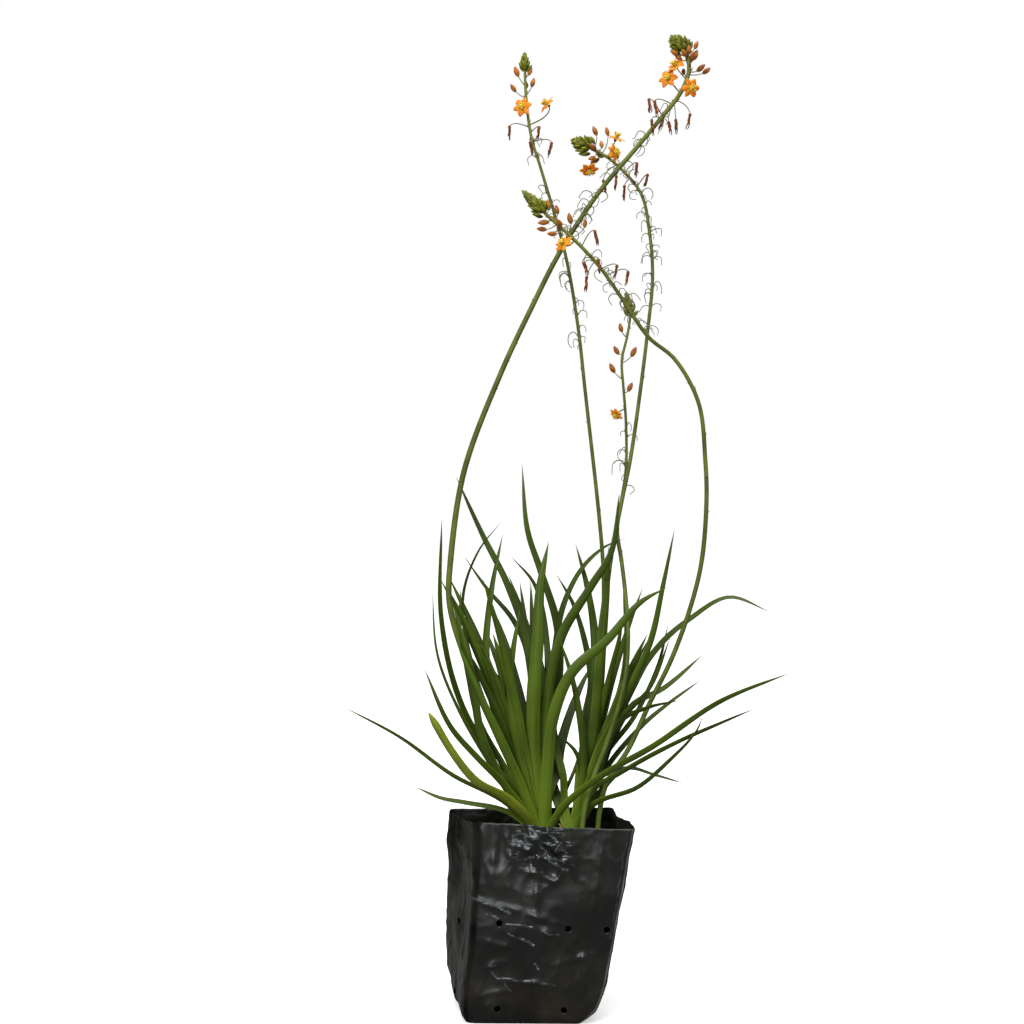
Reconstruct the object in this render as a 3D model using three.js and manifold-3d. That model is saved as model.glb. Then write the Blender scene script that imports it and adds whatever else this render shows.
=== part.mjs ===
// Stalked bulbine in a black film nursery bag: the bag, the potting soil, two leafy shoots and
// five flower stalks with their open blooms. Millimetres, +Z up, origin on the ground under the
// middle of the bag, -Y towards the viewer.

import * as THREE from 'three';
import { mergeVertices } from 'three/addons/utils/BufferGeometryUtils.js';
import Module from 'manifold-3d';

const wasm = await Module();
wasm.setup();

// Driving dimensions
const BAG_HEIGHT = 139;
const FILM = 1.0;
const SOIL_TOP = 118;
const FIT = 0.3;
const CROWN_BOTTOM = 104;
const CROWN_TOP = 125;
const CROWN_EDGE = 3;
const ROOT_HOLE_FIT = 0.6;
const STALK_BOTTOM = 103;
const LEAF_START = 121;
const LEAF_FLATNESS = 0.52;
const LEAF_FACING = 14;
const LEAF_TURN = 0.45;
const LEAF_STATION = 9;
const STALK_STATION = 4.6;
const TEPALS = 6;
const TEPAL_LENGTH = 7.4;
const TEPAL_WIDTH = 4.9;
const TEPAL_THICKNESS = 0.9;
const TUFT_LENGTH = 6.8;
const TUFT_WIDTH = 5.4;
const BUD_LENGTH = 7.5;
const BUD_WIDTH = 3.7;
const SPENT_LENGTH = 9.2;
const SPENT_WIDTH = 3.0;
const PEDICEL_WIDTH = 1.1;
const THREAD_WIDTH = 1.2;
const THREAD_REACH = [6, 10];
const THREAD_RISE = [2, 6];
const SHOOT_SPACING = 1.5;
const LEAF_CLEARANCE = [0.15, 0.6];
const BEAD = 5;
const ROOT_STIFF = [12, 60];
const ROOT_HELD = [5, 22];
const DEPTH_FIRST = [145, 180];
const LEAF_GIVE = 0.35;
const STALK_GIVE = 1.1;
const SETTLE_STEP = 1.6;
const SETTLE_ROUNDS = 56;
const SETTLE_EASINGS = 4;
const CONE_BUD_LENGTH = [6.2, 4.4];
const CONE_BUD_WIDTH = [3.4, 2.4];
const CONE_CORE = { length: 1.1, width: 0.54 };
const BUD_TURN = 137.5;
const LEAF_SIDES = 4;
const STALK_SIDES = 5;
const STEM_SIDES = 3;
const STEM_STEPS = 2;
const THREAD_STEPS = 3;
const ROUND_SIDES = 8;
const LUMP_SIDES = 5;
const SMALL_LUMP_SIDES = 4;
const LUMP_RINGS = 3;

// The bag's plan at five heights. Corners run front left, front right, back right, back left.
const BAG_PLANS = [
  { z: 0, corners: [[-53, -37], [28, -39], [30, 29], [-58, 29]] },
  { z: 5, corners: [[-55, -40], [34, -42], [34, 32], [-63, 32]] },
  { z: 16, corners: [[-55, -42], [42, -45], [39, 36], [-68, 36]] },
  { z: 60, corners: [[-49, -43], [52, -48], [47, 40], [-71, 39]] },
  { z: BAG_HEIGHT, corners: [[-45, -37], [66, -50], [54, 40], [-69, 38]] },
];
const CORNER_ROUND = [7, 4, 10, 9];
const SIDE_POINTS = [5, 3, 4, 3];
const SIDE_BULGE = [3.0, -2.5, 3.0, -3.0];
const BAG_LEVELS = [0, 5, 16, 60, SOIL_TOP - 2, 126, BAG_HEIGHT];
const SOIL_GAP = 0.5;

// Drain holes: side of the bag (0 front, 1 right, 2 back, 3 left), share of that side, height
const DRAIN_HOLE = 4.4;
const DRAIN_HOLES = [
  [0, 0.12, 72], [0, 0.7, 69], [0, 0.97, 68], [3, 0.6, 66],
  [0, 0.2, 12], [0, 0.82, 11], [3, 0.5, 14],
  [2, 0.2, 70], [2, 0.75, 67], [2, 0.3, 13],
];

// Leafy shoots: where each crown stands in the soil
const SHOOTS = {
  left: { x: 2, y: -3, radius: 8 },
  right: { x: 23, y: 2, radius: 6.5 },
};

// Leaves: shoot, width, and the points that each passes through from low down to its tip
const LEAVES = [
  ['left', 10.6, [[-5, -16, 183], [-5, -20, 226], [-2, -20, 269], [0, -18, 308], [6, -14, 339]]],
  ['left', 8.8, [[5, -24, 180], [9, -30, 216], [22, -34, 247], [47, -36, 270], [70, -34, 296],
    [90, -32, 307]]],
  ['left', 8.4, [[2, -8, 189], [7, -10, 239], [16, -12, 273], [36, -12, 306], [51, -10, 331],
    [57, -6, 372]]],
  ['left', 6.7, [[0, 8, 172], [13, 14, 230], [13, 16, 276], [1, 16, 316], [-9, 16, 347],
    [-13, 18, 396]]],
  ['left', 6.2, [[-20, 0, 177], [-46, -2, 239], [-56, -2, 296], [-45, 0, 331], [-28, 4, 353]]],
  ['left', 6.2, [[-3, 16, 178], [-8, 26, 258], [-23, 28, 305], [-42, 28, 343], [-62, 26, 387]]],
  ['left', 7.8, [[-17, -6, 170], [-36, -10, 232], [-39, -10, 261], [-35, -8, 304], [-27, -4, 344]]],
  ['left', 5.6, [[2, 20, 192], [6, 36, 257], [-3, 38, 305], [-21, 38, 327]]],
  ['left', 5.4, [[3, 10, 194], [10, 9, 252], [17, 6, 292], [31, 2, 320], [47, -3, 335],
    [61, -6, 341]]],
  ['left', 5.2, [[-3, 22, 192], [-7, 34, 250], [-19, 36, 279], [-39, 38, 303], [-56, 38, 327]]],
  ['left', 6.2, [[-25, 0, 165], [-58, 9, 222], [-72, 16, 281], [-72, 20, 356]]],
  ['left', 6.7, [[-12, -18, 176], [-20, -24, 216], [-21, -26, 248], [-15, -24, 290]]],
  ['left', 7.8, [[-25, -12, 164], [-42, -20, 201], [-50, -24, 250], [-63, -24, 297]]],
  ['left', 5.6, [[-27, -2, 163], [-58, -6, 216], [-74, -6, 257], [-78, -2, 304]]],
  ['left', 7.3, [[-26, -24, 166], [-46, -34, 188], [-64, -40, 210], [-82, -44, 251]]],
  ['left', 10.6, [[-22, -22, 155], [-46, -38, 171], [-62, -46, 192], [-78, -52, 220]]],
  ['left', 8.5, [[-8, -11, 150], [-18, -12, 161], [-30, -13, 175]]],
  ['left', 7.5, [[-13, -20, 163], [-29, -28, 200], [-42, -32, 228], [-60, -34, 270]]],
  ['left', 7.3, [[-25, -10, 151], [-63, -16, 172], [-100, -18, 199], [-141, -18, 221]]],
  ['left', 5.6, [[-23, -2, 143], [-54, -2, 150], [-72, 0, 153], [-91, 2, 161]]],
  ['left', 7.8, [[18, -22, 152], [45, -38, 176], [78, -46, 196], [125, -50, 228], [174, -50, 248]]],
  ['left', 9.0, [[-20, -5, 166], [-44, -4, 209], [-52, -4, 242], [-58, -4, 280], [-57, -3, 307]]],
  ['right', 6.2, [[38, -9, 160], [57, -14, 173], [90, -19, 192], [136, -22, 213], [153, -22, 220]]],
  ['right', 10.1, [[35, -2, 173], [40, -4, 213], [45, -4, 273], [48, -2, 304], [50, 2, 336]]],
  ['right', 7.8, [[31, 4, 180], [38, 6, 230], [40, 6, 266], [35, 8, 303], [26, 8, 337]]],
  ['right', 5.6, [[34, 20, 179], [39, 28, 229], [27, 31, 287], [12, 31, 315]]],
  ['right', 4.5, [[30, -8, 171], [26, -12, 187], [14, -16, 200]]],
  ['right', 5.6, [[31, -10, 182], [28, -16, 215], [23, -18, 240], [14, -20, 269]]],
  ['right', 8.4, [[38, -11, 150], [69, -17, 163], [90, -20, 181], [111, -22, 204], [116, -22, 216]]],
  ['right', 6.2, [[40, 5, 172], [63, 11, 226], [88, 14, 263], [110, 14, 282], [138, 10, 298],
    [168, 4, 287]]],
  ['right', 6.2, [[44, 11, 175], [68, 24, 217], [93, 32, 230], [122, 38, 254]]],
  ['right', 6.7, [[39, -5, 171], [57, -9, 209], [77, -15, 220], [100, -22, 226]]],
  ['right', 4.5, [[45, 9, 168], [74, 19, 202], [94, 25, 218], [120, 30, 236]]],
  ['right', 5.0, [[40, 10, 150], [63, 24, 171], [86, 32, 165], [108, 36, 158]]],
  ['right', 6.7, [[37, -4, 174], [62, -12, 229], [79, -12, 267], [88, -10, 306], [97, -6, 348]]],
  ['right', 4.5, [[42, 9, 175], [70, 17, 211], [87, 21, 247], [95, 24, 278]]],
  ['right', 4.9, [[36, -7, 171], [57, -13, 212], [78, -22, 235], [92, -30, 272]]],
  ['right', 8.0, [[35, -3, 169], [43, -3, 188], [59, 0, 234], [63, 4, 265], [62, 7, 293],
    [61, 9, 322]]],
];

// Leaves of the far side and the gaps, drawn by rule: shoot, count, first and last compass angle
const FILL_SEED = 31;
const FILL_LENGTH = [150, 235];
const FILL_WIDTH = [5.6, 8.6];
const FILL_LEAVES = [
  ['left', 10, 72, 128],
  ['left', 7, 152, 205],
  ['right', 8, -25, 48],
  ['left', 3, 205, 238],
  ['right', 2, 100, 150],
];

// Flower stalks. Route points run from the soil to the tip. A raceme's entries give the distance
// below the tip, the compass angle round the stalk, the reach from it and the rise along it.
const STALKS = {
  tall: {
    width: [5.0, 3.0],
    cone: { length: 13, width: 17, buds: 11 },
    route: [[-12, 9, 136], [-19, 8, 177], [-38, 7, 215], [-60, 6, 270], [-66, 6, 296],
      [-65, 6, 325], [-55, 4, 390], [-29, 0, 459], [-7, -3, 506], [15, -3, 549],
      [43, 0, 592], [70, 0, 624], [89, 0, 647], [102, 0, 664], [108, 0, 680], [106, 0, 691],
      [101, 0, 699], [94, 0, 703]],
    blooms: [
      { at: [36, 188, 11, 5], face: [-0.5, -0.5, 0.7] },
      { at: [47, 178, 13, 4], face: [-0.4, -0.85, 0.2] },
      { at: [43, -58, 9, 1], face: [0.35, -0.9, -0.2] },
    ],
    buds: [[17, -5, 9, 4], [24, 15, 6, 6], [21, 190, 7, 2], [32, 8, 12, 7], [26, 95, 8, 7],
      [33, 115, 9, 4], [27, -85, 8, 6], [16, 60, 8, 3], [19, 250, 8, 2], [17, 200, 9, 3],
      [40, 60, 9, 3], [19, -75, 7, 3], [30, -35, 9, 4]],
    spent: [[53, 8, 16, -4], [57, 200, 9, -9], [62, -15, 9, -9], [68, 165, 14, 2], [60, 85, 9, -8],
      [70, -100, 8, -9], [55, -20, 12, -12]],
    threads: { from: 74, to: 180, count: 8 },
  },
  slender: {
    width: [3.4, 2.0],
    cone: { length: 11, width: 9, buds: 8 },
    route: [[30, 22, 136], [34, 23, 160], [43, 26, 222], [47, 27, 280], [47, 27, 319],
      [44, 27, 357], [34, 27, 447], [28, 27, 500], [19, 28, 551], [1, 28, 614], [-6, 28, 637],
      [-10, 28, 668], [-11, 28, 699]],
    blooms: [
      { at: [42, -115, 8, 1], face: [-0.35, -0.93, 0.1] },
      { at: [53, -5, 16, 12], face: [-0.75, -0.3, 0.55] },
    ],
    buds: [[24, 180, 6, 11], [33, 187, 9, 8], [31, 0, 6, 9], [18, 10, 4, 5], [30, 80, 6, 8]],
    spent: [[55, 175, 15, 1], [59, 0, 6, 0], [66, 8, 12, -7], [62, 100, 9, -5]],
    threads: { from: 72, to: 236, count: 6 },
  },
  hooked: {
    width: [3.6, 2.2],
    cone: { length: 14, width: 17, buds: 11 },
    route: [[30, -19, 136], [34, -20, 159], [49, -22, 201], [60, -19, 239], [63, -12, 268],
      [62, -5, 296], [59, 1, 325], [56, 4, 347], [59, 6, 365], [66, 8, 399], [74, 12, 453],
      [79, 16, 492], [83, 20, 532], [81, 22, 565], [75, 23, 594], [59, 24, 614], [46, 24, 624],
      [33, 24, 630], [24, 24, 634]],
    blooms: [
      { at: [29, 8, 15, 3], face: [0.3, -0.3, 0.9] },
      { at: [31, -70, 10, 0], face: [0.8, -0.6, 0.1] },
      { at: [27, 184, 15, 4], face: [0.1, -0.5, -0.85] },
    ],
    buds: [[17, 0, 13, 5], [24, -8, 16, 5], [20, 30, 8, 0], [22, 140, 8, 0], [26, 90, 9, 3],
      [19, 215, 9, 0], [18, 270, 8, 2]],
    spent: [[38, 178, 17, -3], [42, 150, 9, -3], [46, 5, 9, -3], [60, 0, 9, 2], [52, 180, 9, -4]],
    threads: { from: 62, to: 156, count: 6 },
  },
  arching: {
    width: [4.0, 2.4],
    cone: { length: 20, width: 16, buds: 12 },
    route: [[42, -3, 136], [48, -3, 164], [64, -3, 189], [79, -5, 222], [95, -7, 255],
      [109, -10, 295], [116, -12, 326], [119, -15, 369], [118, -16, 397], [113, -18, 438],
      [96, -19, 469], [77, -19, 485], [57, -20, 514], [42, -21, 535], [24, -22, 554],
      [2, -22, 574], [-12, -22, 588]],
    blooms: [
      { at: [50, 215, 10, 3], face: [-0.5, -0.6, 0.55] },
    ],
    buds: [[22, 5, 6, 3], [30, 10, 8, 4], [43, 0, 9, 6], [26, 190, 6, 1], [33, 170, 10, 6],
      [38, 190, 8, 3], [47, 5, 14, 0], [36, -80, 6, 2], [30, 80, 7, 3], [40, 85, 8, 3]],
    spent: [[57, 0, 13, -1], [63, 180, 8, -6], [71, 182, 14, -7], [78, 5, 8, -7], [84, 0, 12, -9],
      [68, -90, 8, -6]],
    threads: { from: 78, to: 140, count: 5 },
  },
  young: {
    width: [2.8, 1.8],
    cone: { length: 15, width: 11, buds: 8 },
    route: [[12, 20, 136], [28, 16, 178], [41, 15, 229], [47, 14, 281], [51, 14, 314],
      [54, 14, 336], [59, 14, 365], [63, 14, 391], [63, 14, 427], [61, 13, 453], [60, 13, 471],
      [64, 12, 489], [66, 12, 505], [63, 12, 520]],
    blooms: [
      { at: [86, 200, 7, -3], face: [-0.5, -0.5, -0.7], size: 0.75 },
    ],
    buds: [[33, 180, 6, 6], [46, 180, 5, 3], [52, 0, 9, 8], [64, 180, 7, 9], [74, 0, 5, 4]],
    spent: [],
    threads: { from: 100, to: 150, count: 2 },
  },
};
const RACEME_SEED = 7;
const TURN = Math.PI / 180;

// Smooth run through values given at rising keys
function between(keys, values, key) {
  let i = 0;
  while (i < keys.length - 2 && key > keys[i + 1]) i += 1;
  const slope = (k) => {
    const a = Math.max(k - 1, 0);
    const b = Math.min(k + 1, keys.length - 1);
    return (values[b] - values[a]) / (keys[b] - keys[a]);
  };
  const span = keys[i + 1] - keys[i];
  const f = Math.min(Math.max((key - keys[i]) / span, 0), 1);
  const start = (1 + 2 * f) * (1 - f) ** 2 * values[i] + f * (1 - f) ** 2 * span * slope(i);
  const end = f * f * (3 - 2 * f) * values[i + 1] + f * f * (f - 1) * span * slope(i + 1);
  return start + end;
}

// A value within a range at a share of the way
const within = ([low, high], share) => low + (high - low) * share;

// Repeatable draws between 0 and 1
function drawer(seed) {
  let state = seed;
  return () => {
    state = (state * 1664525 + 1013904223) % 4294967296;
    return state / 4294967296;
  };
}

// A closed solid from a geometry, with its shared corners merged and its empty triangles dropped
function solidOf(geometry) {
  const bare = geometry.index ? geometry.toNonIndexed() : geometry.clone();
  bare.deleteAttribute('normal');
  bare.deleteAttribute('uv');
  const merged = mergeVertices(bare, 1e-4);
  const corners = merged.index.array;
  const kept = [];
  for (let i = 0; i < corners.length; i += 3) {
    const [a, b, c] = corners.slice(i, i + 3);
    if (a !== b && b !== c && c !== a) kept.push(a, b, c);
  }
  return new wasm.Manifold(new wasm.Mesh({
    numProp: 3,
    vertProperties: Float32Array.from(merged.attributes.position.array),
    triVerts: Uint32Array.from(kept),
  }));
}

// The outer body of a joined solid, without the hollows that joining sealed or loose scraps
function oneBody(solid) {
  return solid.decompose().reduce((a, b) => (b.volume() > a.volume() ? b : a));
}

function fuse(solids) {
  return oneBody(solids.reduce((a, b) => a.add(b)));
}

function meshOf(name, solid, material) {
  const { numProp, vertProperties, triVerts } = solid.getMesh();
  const position = new Float32Array((vertProperties.length / numProp) * 3);
  for (let i = 0; i < position.length / 3; i += 1) {
    position.set(vertProperties.slice(i * numProp, i * numProp + 3), i * 3);
  }
  const geometry = new THREE.BufferGeometry();
  geometry.setAttribute('position', new THREE.BufferAttribute(position, 3));
  geometry.setIndex(new THREE.BufferAttribute(Uint32Array.from(triVerts), 1));
  geometry.computeVertexNormals();
  const mesh = new THREE.Mesh(geometry, material);
  mesh.name = name;
  return mesh;
}

const vector = (p) => new THREE.Vector3(...p);

// Even points along the smooth curve through the given points
function course(points, count) {
  return new THREE.CatmullRomCurve3(points.map(vector)).getSpacedPoints(count - 1);
}

// A cylinder bent along even points. size(t) gives the half width and half depth at t.
function bend(points, sides, side, size) {
  const steps = points.length - 1;
  const frames = [];
  let across = side.clone();
  for (let i = 0; i <= steps; i += 1) {
    const ahead = points[Math.min(i + 1, steps)].clone().sub(points[Math.max(i - 1, 0)]).normalize();
    across = across.sub(ahead.clone().multiplyScalar(across.dot(ahead))).normalize();
    frames.push({ across: across.clone(), deep: across.clone().cross(ahead) });
  }
  const geometry = new THREE.CylinderGeometry(1, 1, steps, sides, steps);
  const place = geometry.attributes.position;
  for (let i = 0; i < place.count; i += 1) {
    const station = Math.round(place.getY(i) + steps / 2);
    const [half, deep] = size(station / steps);
    const spot = points[station].clone()
      .addScaledVector(frames[station].across, place.getX(i) * half)
      .addScaledVector(frames[station].deep, place.getZ(i) * deep);
    place.setXYZ(i, spot.x, spot.y, spot.z);
  }
  return solidOf(geometry);
}

// An egg-shaped lump with its long axis along a direction
function lump(centre, direction, half, radius, sides, rings) {
  const geometry = new THREE.SphereGeometry(1, sides, rings);
  geometry.scale(radius, half, radius);
  const turn = new THREE.Quaternion().setFromUnitVectors(
    new THREE.Vector3(0, 1, 0), direction.clone().normalize());
  geometry.applyQuaternion(turn);
  geometry.translate(centre.x, centre.y, centre.z);
  return solidOf(geometry);
}

// The bag's outline at a height, pulled in by an inset
function outline(z, inset) {
  const keys = BAG_PLANS.map((plan) => plan.z);
  const corner = [0, 1, 2, 3].map((k) => new THREE.Vector2(
    between(keys, BAG_PLANS.map((plan) => plan.corners[k][0]), z),
    between(keys, BAG_PLANS.map((plan) => plan.corners[k][1]), z)));
  const fullness = Math.sin(Math.PI * Math.min(z / BAG_HEIGHT, 1) ** 0.7);
  const rim = (z / BAG_HEIGHT) ** 2;
  const points = [];
  corner.forEach((here, k) => {
    const next = corner[(k + 1) % 4];
    const before = corner[(k + 3) % 4];
    const round = CORNER_ROUND[k];
    const back = before.clone().sub(here).setLength(round).add(here);
    const ahead = next.clone().sub(here).setLength(round).add(here);
    [0, 0.5, 1].forEach((f) => {
      const x = (1 - f) ** 2 * back.x + 2 * f * (1 - f) * here.x + f * f * ahead.x;
      const y = (1 - f) ** 2 * back.y + 2 * f * (1 - f) * here.y + f * f * ahead.y;
      points.push(new THREE.Vector2(x, y));
    });
    const run = next.clone().sub(here);
    const out = new THREE.Vector2(run.y, -run.x).normalize();
    const bulge = SIDE_BULGE[k] * (SIDE_BULGE[k] > 0 ? fullness : rim);
    for (let i = 1; i <= SIDE_POINTS[k]; i += 1) {
      const f = i / (SIDE_POINTS[k] + 1);
      const wave = 0.9 * fullness * Math.sin(9 * f + 0.06 * z + 2 * k);
      points.push(here.clone().lerp(next, 0.1 + 0.8 * f)
        .addScaledVector(out, bulge * Math.sin(Math.PI * f) + wave));
    }
  });
  return points.map((here, i) => {
    const ahead = points[(i + 1) % points.length];
    const behind = points[(i + points.length - 1) % points.length];
    const run = ahead.clone().sub(behind).normalize();
    return here.clone().add(new THREE.Vector2(-run.y, run.x).multiplyScalar(inset));
  });
}

// A body of rings: each ring is an outline with its height and scale about the middle
function ringBody(rings) {
  const profile = rings.map((ring, i) => new THREE.Vector2(ring.spread === 0 ? 0 : 1, i));
  const around = rings[0].outline.length;
  const geometry = new THREE.LatheGeometry(profile, around);
  const place = geometry.attributes.position;
  for (let i = 0; i < place.count; i += 1) {
    const ring = rings[i % rings.length];
    const spot = ring.outline[(around - Math.floor(i / rings.length)) % around];
    place.setXYZ(i, spot.x * ring.spread, spot.y * ring.spread, ring.z);
  }
  const solid = solidOf(geometry);
  return solid.volume() > 0 ? solid : solidOf(flipped(geometry));
}

function flipped(geometry) {
  const corners = geometry.index.array;
  for (let i = 0; i < corners.length; i += 3) {
    [corners[i], corners[i + 1]] = [corners[i + 1], corners[i]];
  }
  return geometry;
}

function bag() {
  const outside = BAG_LEVELS.map((z) => ({ z, spread: 1, outline: outline(z, 0) }));
  const inside = BAG_LEVELS.map((z) => ({ z, spread: 1, outline: outline(z, FILM) })).reverse();
  inside[inside.length - 1].z = FILM;
  const closing = (z) => ({ z, spread: 0, outline: outline(0, 0) });
  const body = ringBody([closing(0), ...outside, ...inside, closing(FILM)]);
  return DRAIN_HOLES.reduce((shell, hole) => shell.subtract(drainHole(...hole)), body);
}

function drainHole(side, share, z) {
  const shape = outline(z, FILM / 2);
  const first = SIDE_POINTS.slice(0, side).reduce((a, b) => a + b + 3, 0) + 2;
  const place = first + share * (SIDE_POINTS[side] + 1);
  const a = shape[Math.floor(place) % shape.length];
  const b = shape[(Math.floor(place) + 1) % shape.length];
  const spot = a.clone().lerp(b, place - Math.floor(place));
  const run = b.clone().sub(a).normalize();
  const geometry = new THREE.CylinderGeometry(DRAIN_HOLE / 2, DRAIN_HOLE / 2, 6 * FILM, 6);
  geometry.rotateZ(Math.PI / 2);
  geometry.rotateZ(Math.atan2(-run.x, run.y));
  geometry.translate(spot.x, spot.y, z);
  return solidOf(geometry);
}

// Upright cylinder between two heights
function post(x, y, radius, bottom, top) {
  const geometry = new THREE.CylinderGeometry(radius, radius, top - bottom, ROUND_SIDES);
  geometry.rotateX(Math.PI / 2);
  geometry.translate(x, y, (top + bottom) / 2);
  return solidOf(geometry);
}

function soil() {
  const inset = FILM + SOIL_GAP;
  const levels = BAG_LEVELS.filter((z) => z < SOIL_TOP);
  const rings = levels.map((z) => ({ z, spread: 1, outline: outline(z, inset) })).reverse();
  rings[rings.length - 1].z = FILM + FIT;
  const top = outline(SOIL_TOP, inset);
  rings.push({ z: FILM + FIT, spread: 0, outline: top });
  rings.unshift({ z: SOIL_TOP, spread: 0, outline: top }, { z: SOIL_TOP, spread: 0.72, outline: top });
  let body = ringBody(rings);
  Object.values(SHOOTS).forEach(({ x, y, radius }) => {
    const hole = radius + ROOT_HOLE_FIT;
    body = body.subtract(post(x, y, hole, CROWN_BOTTOM - FIT, BAG_HEIGHT));
  });
  Object.values(STALKS).forEach(({ width, route }) => {
    const hole = width[0] / 2 + ROOT_HOLE_FIT;
    body = body.subtract(post(route[0][0], route[0][1], hole, STALK_BOTTOM - FIT, BAG_HEIGHT));
  });
  return body;
}

// How wide a leaf is along its length, as a share of its full width
const leafShape = (t) => between([0, 0.4, 0.7, 0.9, 1], [1.0, 1.0, 0.8, 0.45, 0], t);

// The far-side leaves of the rule, in the same form as the list of leaves
function fillLeaves() {
  const draw = drawer(FILL_SEED);
  const made = [];
  FILL_LEAVES.forEach(([shoot, count, first, last]) => {
    for (let i = 0; i < count; i += 1) {
      const angle = (first + ((last - first) * (i + 0.2 + 0.6 * draw())) / count) * TURN;
      const length = within(FILL_LENGTH, draw());
      const lean = (8 + 12 * draw() + 24 * draw() * Math.max(Math.sin(angle), 0)) * TURN;
      const sway = 0.5 * (draw() - 0.5);
      const { x, y } = SHOOTS[shoot];
      const points = [0.28, 0.55, 0.8, 1].map((f) => {
        const out = 6 + length * Math.sin(lean) * (0.6 * f + 0.4 * f * f);
        const turned = angle + sway * f;
        const up = LEAF_START + length * Math.cos(lean) * f * (1 - 0.12 * f);
        return [x + out * Math.cos(turned), y + out * Math.sin(turned), up];
      });
      made.push([shoot, within(FILL_WIDTH, draw()), points]);
    }
  });
  return made;
}

// Each leaf's even points from its root on the crown to its tip
function leafCourses() {
  return [...LEAVES, ...fillLeaves()].map(([shoot, width, points]) => {
    const { x, y, radius } = SHOOTS[shoot];
    const towards = Math.atan2(points[0][1] - y, points[0][0] - x);
    const foot = radius - width / 2 - 0.5;
    const at = (share, z) => (
      [x + share * foot * Math.cos(towards), y + share * foot * Math.sin(towards), z]);
    const all = [at(0.5, LEAF_START - 2), at(1, LEAF_START + 5), ...points];
    const span = new THREE.CatmullRomCurve3(all.map(vector)).getLength();
    return { shoot, width, points: course(all, Math.round(span / BEAD) + 1) };
  });
}

function stalkCourse({ route }) {
  const [x, y] = route[0];
  const all = [[x, y, STALK_BOTTOM], [x, y, SOIL_TOP + 3], ...route];
  const span = new THREE.CatmullRomCurve3(all.map(vector)).getLength();
  return course(all, Math.round(span / BEAD) + 1);
}

// Leaves that would cross are eased apart, mostly in depth, with the roots and stalks held still.
// Leaves of one shoot overlap at their roots and only need clear part of their width higher up.
function settle(leaves, stalks) {
  const beads = [];
  leaves.forEach((leaf, owner) => {
    const last = leaf.points.length - 1;
    leaf.points.forEach((spot, i) => {
      const free = THREE.MathUtils.smoothstep(i * BEAD, ...ROOT_STIFF);
      const loose = THREE.MathUtils.smoothstep(i * BEAD, ...ROOT_HELD);
      const size = 0.5 * leaf.width * leafShape(i / last);
      const push = new THREE.Vector3();
      beads.push({ spot, owner, free, loose, size, shoot: leaf.shoot, push });
    });
  });
  const still = [];
  stalks.forEach(({ width, points }) => points.forEach((spot) => {
    still.push({ spot, size: width[0] / 2 });
  }));
  const apart = (a, b, need, share) => {
    const way = a.spot.clone().sub(b.spot);
    if (way.lengthSq() >= need * need) return;
    const short = need - way.length();
    const depth = Math.abs(way.y) < 0.2 ? 0.2 * Math.sign(way.y || 1) : way.y;
    way.y = depth * (1 + 2 * THREE.MathUtils.smoothstep(a.spot.z, ...DEPTH_FIRST));
    a.push.addScaledVector(way.normalize(), short * share);
  };
  for (let round = 0; round < SETTLE_ROUNDS; round += 1) {
    beads.forEach((a) => {
      a.push.set(0, 0, 0);
      if (a.loose === 0) return;
      beads.forEach((b) => {
        if (a.owner === b.owner) return;
        const full = a.size + b.size;
        const need = a.shoot === b.shoot
          ? full * within(LEAF_CLEARANCE, Math.min(a.free, b.free)) : full + SHOOT_SPACING;
        apart(a, b, need, LEAF_GIVE * a.free);
      });
      still.forEach((b) => apart(a, b, a.size + b.size + SHOOT_SPACING, STALK_GIVE * a.loose));
    });
    for (let pass = 0; pass < SETTLE_EASINGS; pass += 1) {
      const eased = beads.map((bead, i) => {
        const before = beads[i - 1]?.owner === bead.owner ? beads[i - 1] : bead;
        const after = beads[i + 1]?.owner === bead.owner ? beads[i + 1] : bead;
        return before.push.clone().add(after.push).multiplyScalar(0.25)
          .addScaledVector(bead.push, 0.5);
      });
      beads.forEach((bead, i) => bead.push.copy(eased[i]));
    }
    beads.forEach((bead) => bead.spot.addScaledVector(bead.push, SETTLE_STEP * bead.loose));
  }
}

// Every nth of the even points, ending on the last
function thin(points, count) {
  const last = points.length - 1;
  return Array.from({ length: count + 1 }, (_, i) => points[Math.round((i * last) / count)]);
}

// A blade turns its flat side mostly to the front, so that it shows its full width there
function leafSolid({ shoot, width, points }) {
  const spots = thin(points, Math.max(6, Math.round(points.length / LEAF_STATION)));
  const { x, y } = SHOOTS[shoot];
  const middle = points[Math.floor(points.length / 2)];
  const deep = middle.y - y;
  const turn = LEAF_TURN * (middle.x - x) * (deep > 0 ? -1 : 1);
  const side = new THREE.Vector3(Math.abs(deep) + LEAF_FACING, turn, 0).normalize();
  return bend(spots, LEAF_SIDES, side, (t) => {
    const half = 0.5 * width * leafShape(t);
    return [half, half * LEAF_FLATNESS];
  });
}

function crown({ x, y, radius }) {
  const profile = [[0, CROWN_BOTTOM], [radius - 1, CROWN_BOTTOM],
    [radius, CROWN_BOTTOM + CROWN_EDGE], [radius, SOIL_TOP + 1],
    [radius * 0.55, CROWN_TOP], [0, CROWN_TOP]];
  const corners = profile.map(([r, z]) => new THREE.Vector2(r, z));
  const geometry = new THREE.LatheGeometry(corners, ROUND_SIDES);
  geometry.rotateX(Math.PI / 2);
  geometry.translate(x, y, 0);
  return solidOf(geometry);
}

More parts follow.
